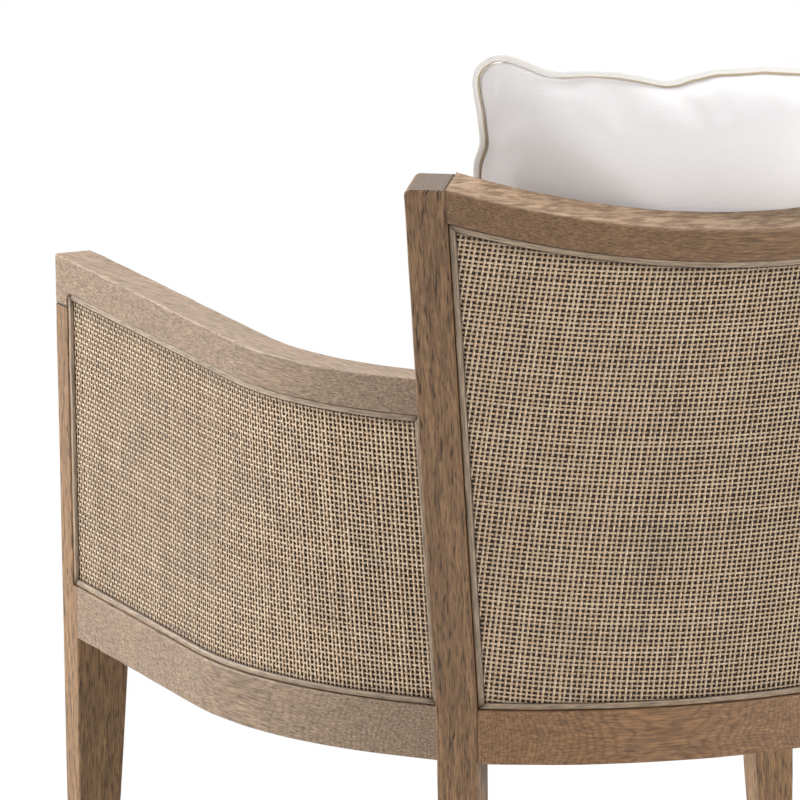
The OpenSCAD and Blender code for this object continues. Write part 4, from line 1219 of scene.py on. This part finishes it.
def slump(a):
    """The seam's sag at an angle, eased between the values above by a short running mean."""
    grid = np.radians(np.arange(-20, 341, 0.5))
    wave = np.interp(grid, np.radians(list(SLUMP)), np.array(list(SLUMP.values())) / 1000)
    wave = np.convolve(np.pad(wave, 2, mode="edge"), np.ones(5) / 5, "valid")
    return np.interp((a + math.radians(20)) % (2 * math.pi) - math.radians(20), grid, wave)


def back_rim(a):
    """Seam line of the back cushion before it slumps: a square with round corners that stand out as ears."""
    w, h = BACK_CUSHION
    edges = [(-1, w / 2), (90, h / 2), (181, w / 2), (270, h / 2)]
    return rim(edges, BACK_POWER, a) * (1 - EDGE_PULL * np.cos(2 * a) ** 2)


def bent_up(x):
    """Forward bend of the back cushion at a distance across it: the curve of the crest's inner face."""
    return BARREL_R - np.sqrt(BARREL_R ** 2 - x ** 2)


def face_depth(share, a, depth):
    """Depth of one face of a knife-edge cushion: full in the middle, steep at the seam, thin at corners."""
    full = depth * (1 - 0.1 * share ** 2) * np.maximum(1 - share ** 7, 0) ** 0.37
    return full * (1 - CORNER_THIN * share ** 3 * np.sin(2 * a) ** 2)


def back_place(points):
    """From the back cushion's own frame to the chair's: leans it, then matches the CAD solid's box."""
    c, s = math.cos(BACK_TURN), math.sin(BACK_TURN)
    a = np.linspace(0, 2 * math.pi, 181)
    r = back_rim(a) + PIPING / 2
    seam = np.stack([r * np.cos(a), r * np.sin(a), bent_up(r * np.cos(a))], -1)
    low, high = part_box("back_cushion")
    top = (seam[:, 1] * s + seam[:, 2] * c).max()
    share = np.array([0, 0.4, 0.65, 0.8, 0.9, 0.96])[:, None]
    x_grid, y_grid = share * back_rim(a) * np.cos(a), share * back_rim(a) * np.sin(a)
    moved = np.stack([points[..., 0], points[..., 1] * c - points[..., 2] * s,
                      points[..., 1] * s + points[..., 2] * c], -1)
    front = np.stack([x_grid, y_grid, face_depth(share, a, BACK_FRONT) + bent_up(x_grid)], -1)
    near = (front[..., 1] * c - front[..., 2] * s).min()
    return moved + np.array([0, low.y - near, high.z - top])


def even_form(points, polygons, size):
    """A closed form as even quads: its mesh is remeshed in voxels of one size."""
    holder = bpy.data.objects.new("form", make_mesh("form", points, polygons))
    bpy.context.scene.collection.objects.link(holder)
    even = holder.modifiers.new("even", "REMESH")
    even.mode, even.voxel_size = "VOXEL", size
    return settled(holder)


def settled(holder):
    """The mesh of an object with its modifiers applied. The object is removed."""
    found = holder.evaluated_get(bpy.context.evaluated_depsgraph_get())
    mesh = bpy.data.meshes.new_from_object(found)
    bpy.data.objects.remove(holder)
    return mesh


def coordinates(mesh):
    """A mesh's vertices as an array."""
    found = np.empty(len(mesh.vertices) * 3, np.float32)
    mesh.vertices.foreach_get("co", found)
    return found.reshape(-1, 3).astype(float)


def set_coordinates(mesh, points):
    mesh.vertices.foreach_set("co", np.asarray(points, np.float32).ravel())
    mesh.update()


# Cushions start a little flatter than their full form, and the air fills them. Past RIM_FROM of the way
# out, the limit of the crown isn't applied.
CLOTH_FRAMES = 20
BACK_VOXEL, SEAT_VOXEL = 0.005, 0.0065
FRONT_START, REAR_START, SEAT_START, CROWN_START = 0.93, 0.9, 0.98, 0.9
RIM_FROM = 0.97
CORD_R, TAPE_R = PIPING * 0.42, 0.0007


def inflate(mesh, pinned, cap, spare):
    """Cloth with air inside and its seams held. No point moves further than cap; spare is extra cloth."""
    before = coordinates(mesh)
    holder = bpy.data.objects.new("pad", mesh)
    scene = bpy.context.scene
    scene.collection.objects.link(holder)
    held = holder.vertex_groups.new(name="seams")
    held.add([int(i) for i in np.flatnonzero(pinned)], 1.0, "REPLACE")
    soft = holder.modifiers.new("soft", "CLOTH")
    fabric = soft.settings
    fabric.quality, fabric.mass, fabric.air_damping = 5, 0.3, 2.0
    fabric.tension_stiffness, fabric.compression_stiffness, fabric.shear_stiffness = 15, 15, 5
    fabric.bending_stiffness = 0.6
    fabric.shrink_min = -spare
    fabric.use_pressure, fabric.uniform_pressure_force = True, 4.0
    fabric.vertex_group_mass = "seams"
    fabric.effector_weights.gravity = 0.0
    soft.collision_settings.use_collision = False
    soft.point_cache.frame_start, soft.point_cache.frame_end = 1, CLOTH_FRAMES
    for step in range(1, CLOTH_FRAMES + 1):
        scene.frame_set(step)
    found = holder.evaluated_get(bpy.context.evaluated_depsgraph_get())
    after = coordinates(found.data)
    scene.frame_set(1)
    move = after - before
    far = np.linalg.norm(move, axis=1, keepdims=True)
    move = move * np.minimum(1, cap / np.maximum(far, 1e-9))
    mesh = holder.data
    bpy.data.objects.remove(holder)
    set_coordinates(mesh, before + move)


def once_finer(mesh):
    """The mesh subdivided once."""
    holder = bpy.data.objects.new("fine", mesh)
    bpy.context.scene.collection.objects.link(holder)
    holder.modifiers.new("finer", "SUBSURF").levels = 1
    return settled(holder)


def nearest(points, curve):
    """Distance of each point to the nearest point of a curve, in blocks to save memory."""
    return np.concatenate([np.sqrt(((block[:, None] - curve[None]) ** 2).sum(-1).min(1))
                           for block in np.array_split(points, max(1, len(points) // 2000))])


def cord(name, curve, radius, material, body, sides=12):
    """A closed round cord along a closed curve, by sweeping a circle square to the curve."""
    ahead = unit(np.roll(curve, -1, 0) - np.roll(curve, 1, 0))
    out = curve - curve.mean(0)
    out = unit(out - (out * ahead).sum(1, keepdims=True) * ahead)
    side = np.cross(ahead, out)
    turn = 2 * math.pi * np.arange(sides) / sides
    points = (curve[:, None] + radius * (np.cos(turn)[None, :, None] * out[:, None]
                                         + np.sin(turn)[None, :, None] * side[:, None])).reshape(-1, 3)
    n = len(curve)
    i, j = np.meshgrid(np.arange(n), np.arange(sides), indexing="ij")
    m, k = (i + 1) % n, (j + 1) % sides
    quads = np.stack([i * sides + j, i * sides + k, m * sides + k, m * sides + j], -1).reshape(-1, 4)
    return add_piece(name, make_mesh(name, points, outward(points, [quads])), material, body)


def linen_material(name, code, second):
    """Soft white cloth: a fine plain weave with slubs, very faint in colour, in Object coordinates."""
    made, t, shader = new_material(name, linear(code))
    coords = t.add("ShaderNodeTexCoord", out="Object")
    slub = t.noise(t.vector("MULTIPLY", coords, (90, 90, 900)), 3.0, 0.6)
    across = t.noise(t.vector("MULTIPLY", coords, (900, 900, 90)), 3.0, 0.6)
    weave_height = t.math("ADD", t.math("MULTIPLY", slub, 0.5), t.math("MULTIPLY", across, 0.5))
    cloudy = t.noise(t.vector("MULTIPLY", coords, (14, 14, 14)), 2.0, 0.5)
    tint = t.mix(t.ramp(cloudy, 0.35, 0.7), linear(code), linear(second))
    light = t.math("ADD", t.math("MULTIPLY", weave_height, 0.12), 0.94)
    tint = t.mix(1.0, tint, t.add("ShaderNodeCombineColor", {0: light, 1: light, 2: light}), "MULTIPLY")
    t.tree.links.new(tint, shader.inputs["Base Color"])
    shader.inputs["Roughness"].default_value = 0.92
    shader.inputs["Specular IOR Level"].default_value = 0.2
    shader.inputs["Sheen Weight"].default_value = 0.05
    bump(t, shader, weave_height, 0.0003, 0.5)
    return made


linen = linen_material("linen", "#f9f6f6", "#f5f2f2")
# Tan cloth in the piping's creases: partly a real seam tape, partly painted shade in the creases
tape_and_crease_shade = linen_material("tape_and_crease_shade", "#cfbd9c", "#bfac8a")
piping_cloth = linen_material("piping_cloth", "#fbf8f4", "#f8f4ef")


# The back cushion's piping and the tapes in the creases beside it: how far they stand out of the seam
CORD_OUT = 0.0026
TAPE_OUT = 0.0006
TAPE_BESIDE = 0.0030

# How far the back cushion's front half rises above the seam, in millimetres at degrees round its rim. This
# is rounded and fitted to the cushion's outline in the photo.
HEAD = {40: 0, 46: 0, 52: 3, 57: 6, 62: 13, 67: 18, 72: 14, 80: 10, 88: 12, 96: 17, 108: 16, 120: 10,
        130: 3, 138: 0}


def rim_fitted(points, reach):
    """Stretches a cushion's outer part in plan, so that its widest ring lies on the seam at each degree.
    A degree with no vertex of that ring takes its neighbour's stretch."""
    turn, far = np.arctan2(points[:, 1], points[:, 0]), np.hypot(points[:, 0], points[:, 1])
    bins = (np.degrees(turn) % 360).astype(int) % 360
    widest = np.zeros(360)
    np.maximum.at(widest, bins, far)
    angle = np.radians(np.arange(360) + 0.5)
    ratio = reach(angle) / np.maximum(widest, 0.01)
    ratio = np.minimum(ratio, np.minimum(np.roll(ratio, 1), np.roll(ratio, -1)))
    ratio = np.convolve(np.pad(ratio, 2, mode="wrap"), np.ones(5) / 5, "valid")
    found = np.interp(turn % (2 * math.pi), angle, ratio, period=2 * math.pi)
    share = np.clip((far * found / reach(turn) - 0.8) / 0.2, 0, 1) ** 2
    points[:, :2] *= (1 + (found - 1) * share)[:, None]
    return points


def risen(points):
    """Lifts the front half's top above the seam: smooth in depth, in height and round the rim."""
    turn, far = np.arctan2(points[:, 1], points[:, 0]), np.hypot(points[:, 0], points[:, 1])
    lift = np.interp(np.degrees(turn), list(HEAD), np.array(list(HEAD.values())) / 1000, left=0, right=0)
    deep = np.clip((points[:, 2] - bent_up(points[:, 0]) - 0.006) / 0.022, 0, 1)
    part = np.clip(far / back_rim(turn), 0, 1)
    points[:, 1] += lift * deep ** 2 * (3 - 2 * deep) * part ** 4
    return points


def softened(mesh, held, times):
    """Coordinates after a few rounds of moving each free vertex halfway to the mean of its neighbours."""
    points = coordinates(mesh)
    ends = np.empty(len(mesh.edges) * 2, np.int32)
    mesh.edges.foreach_get("vertices", ends)
    a, b = ends.reshape(-1, 2).T
    count = np.bincount(ends, minlength=len(points))[:, None]
    for _ in range(times):
        sums = [np.bincount(a, points[b, k], len(points)) + np.bincount(b, points[a, k], len(points))
                for k in range(3)]
        total = np.stack(sums, -1)
        points = np.where(held[:, None], points, (points + total / count) / 2)
    return points


def cushion_piece(name, mesh, points, body, node):
    """Puts the points into a cushion's mesh, subdivides it once and links it as a piece."""
    set_coordinates(mesh, points)
    mesh = once_finer(mesh)
    mesh.polygons.foreach_set("use_smooth", np.ones(len(mesh.polygons), bool))
    mesh.name = name
    return add_piece(name, mesh, linen, body, (node,))


def make_back_cushion():
    """Two unlike crowned faces that meet at one wavy piped seam, inflated as cloth, then piped."""
    a = 2 * math.pi * np.arange(256)[None, :] / 256
    share = np.concatenate([np.linspace(0.02, 0.9, 26), np.linspace(0.91, 1.0, 12)])[:, None]
    r = (back_rim(a) + slump(a) * share ** 24) * share
    x, y = r * np.cos(a), r * np.sin(a)
    front = np.stack([x, y, FRONT_START * face_depth(share, a, BACK_FRONT) + bent_up(x)], -1)
    r = (back_rim(a) + slump(a) * share ** 6) * share
    x, y = r * np.cos(a), r * np.sin(a)
    rear = np.stack([x, y, -REAR_START * face_depth(share, a, BACK_REAR) + bent_up(x)], -1)[::-1][1:]
    rings = np.concatenate([front, rear])
    points = rings.reshape(-1, 3)
    mesh = even_form(points, outward(points, tube_faces(len(rings), 256)), BACK_VOXEL)
    angle = 2 * math.pi * np.arange(720) / 720
    reach = back_rim(angle) + slump(angle)
    seam = np.stack([reach * np.cos(angle), reach * np.sin(angle), bent_up(reach * np.cos(angle))], -1)
    held = nearest(coordinates(mesh), seam) < BACK_VOXEL
    inflate(mesh, held, cap=0.022, spare=0.03)
    found = rim_fitted(softened(mesh, held, 5), lambda a: back_rim(a) + slump(a))
    turn = np.arctan2(found[:, 1], found[:, 0])
    part = np.minimum(np.hypot(found[:, 0], found[:, 1]) / back_rim(turn), 1.0)
    deep = found[:, 2] - bent_up(found[:, 0])
    furthest = face_depth(part, turn, BACK_FRONT) + 0.006
    deep = np.clip(deep, -face_depth(part, turn, BACK_REAR) - 0.0002, furthest)
    found[:, 2] = np.where(part < RIM_FROM, deep + bent_up(found[:, 0]), found[:, 2])
    placed = back_place(risen(found))
    cushion = cushion_piece("soft_back_cushion", mesh, placed, "loose_back", "back_cushion")
    away = unit(seam * [1, 1, 0])
    cord("piping_back", back_place(seam + CORD_OUT * away), CORD_R, piping_cloth, "loose_back")
    # Tan cords beside the piping: partly seam tape, partly painted shade in the creases
    for label, depth in (("rear", -TAPE_BESIDE), ("front", TAPE_BESIDE)):
        tape = seam + TAPE_OUT * away + [0, 0, depth]
        cord(f"tape_back_{label}", back_place(tape), TAPE_R, tape_and_crease_shade, "loose_back", 8)


FRONT_SET = 0.002
NOTCH_SPARE = 0.001


def seat_outline():
    """Seam line of the seat cushion about its middle: the barrel's inside, notched round the front legs."""
    side_d = (HALF_W - ARM_W + SEAT_MID * math.tan(SPLAY)) * math.cos(SPLAY) - PIPING / 2 - CUSHION_GAP
    back_d, back_off = BACK_R - POST_D - PIPING / 2 - CUSHION_GAP, ARC_Y - SEAT_MID
    front_d = SEAT_MID + LEG_D - FRONT_SET - PIPING / 2
    splay = math.degrees(SPLAY)
    edges = [(-90, front_d), (-splay, side_d), (180 + splay, side_d)]
    edges += [(n, back_d + back_off * math.sin(math.radians(n))) for n in (22, 50, 70, 90, 110, 130, 158)]
    a = np.radians(np.arange(-90, 91, 0.25))
    r = rim(edges, SEAT_POWER, a)
    x, y = r * np.cos(a), r * np.sin(a)
    spare = CUSHION_GAP + PIPING / 2 + NOTCH_SPARE
    notch_x = HALF_W - LEG_W - spare
    notch_y = spare - SEAT_MID
    cut = (x > notch_x) & (y < notch_y)
    first, last = np.flatnonzero(cut)[[0, -1]]
    x = np.concatenate([x[:first], [notch_x, notch_x, x[last + 1]], x[last + 1:]])
    y = np.concatenate([y[:first], [y[first - 1], notch_y, notch_y], y[last + 1:]])
    x, y = np.concatenate([x, -x[::-1][1:-1]]), np.concatenate([y, y[::-1][1:-1]])
    x, y = np.append(x, x[0]), np.append(y, y[0])
    run = run_along(np.stack([x, y], -1))
    even = np.linspace(0, run[-1], 600, endpoint=False)
    path = np.stack([np.interp(even, run, x), np.interp(even, run, y)], -1)
    for _ in range(3):
        path = (np.roll(path, 1, 0) + path + np.roll(path, -1, 0)) / 3
    return path


def make_seat_cushion():
    """A boxed cushion: crowned top, flat base and sides that pull in, inflated as cloth, with two welts."""
    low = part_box("seat_cushion")[0]
    middle = np.array([0, SEAT_MID - MID_Y, low.z + SEAT_BOX / 2 + PIPING / 4])
    path = seat_outline()
    half = SEAT_BOX / 2
    flat = half * SEAT_START
    rows = [(s, flat + CROWN_START * SEAT_CROWN * (1 - s ** CROWN_POWER))
            for s in (0.03, 0.2, 0.4, 0.6, 0.75, 0.86, 0.94, 1.0)]
    rows += [(0.975, half * q) for q in (0.6, 0.2, -0.2, -0.6)]
    rows += [(s, -flat) for s in (1.0, 0.94, 0.8, 0.6, 0.4, 0.2, 0.03)]
    rings = np.array([np.column_stack([path * s, np.full(len(path), h)]) for s, h in rows])
    points = rings.reshape(-1, 3)
    mesh = even_form(points, outward(points, tube_faces(len(rows), len(path))), SEAT_VOXEL)
    seams = [np.column_stack([path, np.full(len(path), h)]) for h in (half, -half)]
    held = nearest(coordinates(mesh), np.concatenate(seams)) < 0.006
    inflate(mesh, held, cap=0.02, spare=0.025)
    found = softened(mesh, held, 4)
    turn = np.arctan2(found[:, 1], found[:, 0])
    path_turn = np.arctan2(path[:, 1], path[:, 0])
    order = np.argsort(path_turn)
    far = np.hypot(path[:, 0], path[:, 1])
    reach = np.interp(turn, path_turn[order], far[order], period=2 * math.pi)
    out = np.hypot(found[:, 0], found[:, 1])
    found[:, :2] *= np.minimum(1, (reach + 0.001) / out)[:, None]
    part = np.minimum(out / reach, 1.0)
    crown = half + PIPING * 0.2 + SEAT_CROWN * (1 - part ** CROWN_POWER)
    found[:, 2] = np.clip(found[:, 2], -half - 0.0005, np.where(part < RIM_FROM, crown, half + 0.004))
    cushion = cushion_piece("soft_seat_cushion", mesh, found + middle, "loose_seat", "seat_cushion")
    for label, seam in zip(("top", "base"), seams):
        cord(f"piping_seat_{label}", seam + middle, CORD_R, linen, "loose_seat")


make_back_cushion()
make_seat_cushion()


# Stage: floor, lamps, world and camera

FLOOR_HALF = 14.0
FLOOR_NEAR, FLOOR_FAR = 0.5, 1.0


def make_floor():
    """A wide pale plane: soft shadows under the chair, and plain white to the camera further out."""
    made, t, shader = new_material("studio_floor", (0.9, 0.9, 0.9, 1))
    shader.inputs["Base Color"].default_value = (0.86, 0.86, 0.86, 1)
    shader.inputs["Roughness"].default_value = 0.9
    shader.inputs["Specular IOR Level"].default_value = 0.1
    paths = t.tree.nodes.new("ShaderNodeLightPath")
    seen = t.math("MAXIMUM", paths.outputs["Is Camera Ray"], paths.outputs["Is Glossy Ray"])
    seen = t.math("MAXIMUM", seen, paths.outputs["Is Transmission Ray"])
    white = t.add("ShaderNodeEmission", {"Color": (1, 1, 1, 1), "Strength": 1.0})
    coords = t.add("ShaderNodeTexCoord", out="Object")
    away = t.add("ShaderNodeVectorMath", {0: coords}, out="Value", operation="LENGTH")
    clear = t.math("ADD", t.math("MULTIPLY", t.ramp(away, FLOOR_NEAR, FLOOR_FAR), 0.45), 0.55)
    share = t.math("MULTIPLY", seen, clear)
    both = t.add("ShaderNodeMixShader", {0: share, 1: shader.outputs[0], 2: white})
    t.tree.links.new(both, t.tree.nodes["Material Output"].inputs["Surface"])
    corners = FLOOR_HALF * np.array([(-1, -1, 0), (1, -1, 0), (1, 1, 0), (-1, 1, 0)])
    mesh = make_mesh("studio_floor", corners, [np.array([[0, 1, 2, 3]])])
    floor = bpy.data.objects.new("studio_floor", mesh)
    floor.data.materials.append(made)
    bpy.context.scene.collection.objects.link(floor)


LAMP_SIZE = 2.5


def soft_box(name, place, aim, power):
    """A square white lamp of some watts at a place, turned to a point."""
    lamp = bpy.data.lights.new(name, "AREA")
    lamp.shape, lamp.size, lamp.energy = "SQUARE", LAMP_SIZE, power
    made = bpy.data.objects.new(name, lamp)
    made.location = place
    made.rotation_euler = (Vector(aim) - Vector(place)).to_track_quat("-Z", "Y").to_euler()
    bpy.context.scene.collection.objects.link(made)


def set_world(strength):
    """A world that is white to the camera and in reflections, and lights the chair only faintly."""
    world = bpy.data.worlds.new("studio")
    bpy.context.scene.world = world
    world.use_nodes = True
    t = Tree(world.node_tree)
    base = t.tree.nodes["Background"]
    base.inputs[0].default_value = (1, 1, 1, 1)
    base.inputs[1].default_value = strength
    paths = t.tree.nodes.new("ShaderNodeLightPath")
    seen = t.math("MAXIMUM", paths.outputs["Is Camera Ray"], paths.outputs["Is Transmission Ray"])
    seen = t.math("MAXIMUM", seen, paths.outputs["Is Glossy Ray"])
    white = t.add("ShaderNodeBackground", {0: (1, 1, 1, 1), 1: 1.0})
    both = t.add("ShaderNodeMixShader", {0: seen, 1: base.outputs[0], 2: white})
    t.tree.links.new(both, t.tree.nodes["World Output"].inputs[0])


CAMERA_AT = (3.1162, 6.6388, 2.0197)
CAMERA_YAW = math.radians(23.8480)
CAMERA_PITCH = math.radians(11.5560)
CAMERA_ROLL = math.radians(-0.8679)
CAMERA_LENS = 420.7


def set_camera():
    """A long lens behind the chair's left rear corner, looking down a little."""
    ahead = Vector((-math.sin(CAMERA_YAW) * math.cos(CAMERA_PITCH),
                    -math.cos(CAMERA_YAW) * math.cos(CAMERA_PITCH), -math.sin(CAMERA_PITCH)))
    right = Vector((-math.cos(CAMERA_YAW), math.sin(CAMERA_YAW), 0))
    up = right.cross(ahead)
    c, s = math.cos(CAMERA_ROLL), math.sin(CAMERA_ROLL)
    right, up = right * c + up * s, up * c - right * s
    data = bpy.data.cameras.new("photo_view")
    data.sensor_width, data.lens = 36.0, CAMERA_LENS
    data.clip_start, data.clip_end = 0.1, 100.0
    camera = bpy.data.objects.new("photo_view", data)
    turn = Matrix((right, up, -ahead)).transposed()
    camera.matrix_world = Matrix.Translation(CAMERA_AT) @ turn.to_4x4()
    bpy.context.scene.collection.objects.link(camera)
    bpy.context.scene.camera = camera


make_floor()

# The lamps match the photo's light on the arm, the post, the cane and the crest's top
soft_box("key", (3.6, -3.4, 2.4), (0, 0, 0.5), 250)
soft_box("side", (5.0, 0.4, 2.4), (0, 0, 0.5), 88)
soft_box("fill", (-3.0, 4.6, 2.4), (0, 0, 0.5), 210)
soft_box("top", (0.2, -1.2, 4.0), (0, 0, 0.4), 150)
set_world(0.05)
set_camera()
bpy.context.scene.view_settings.view_transform = "Standard"
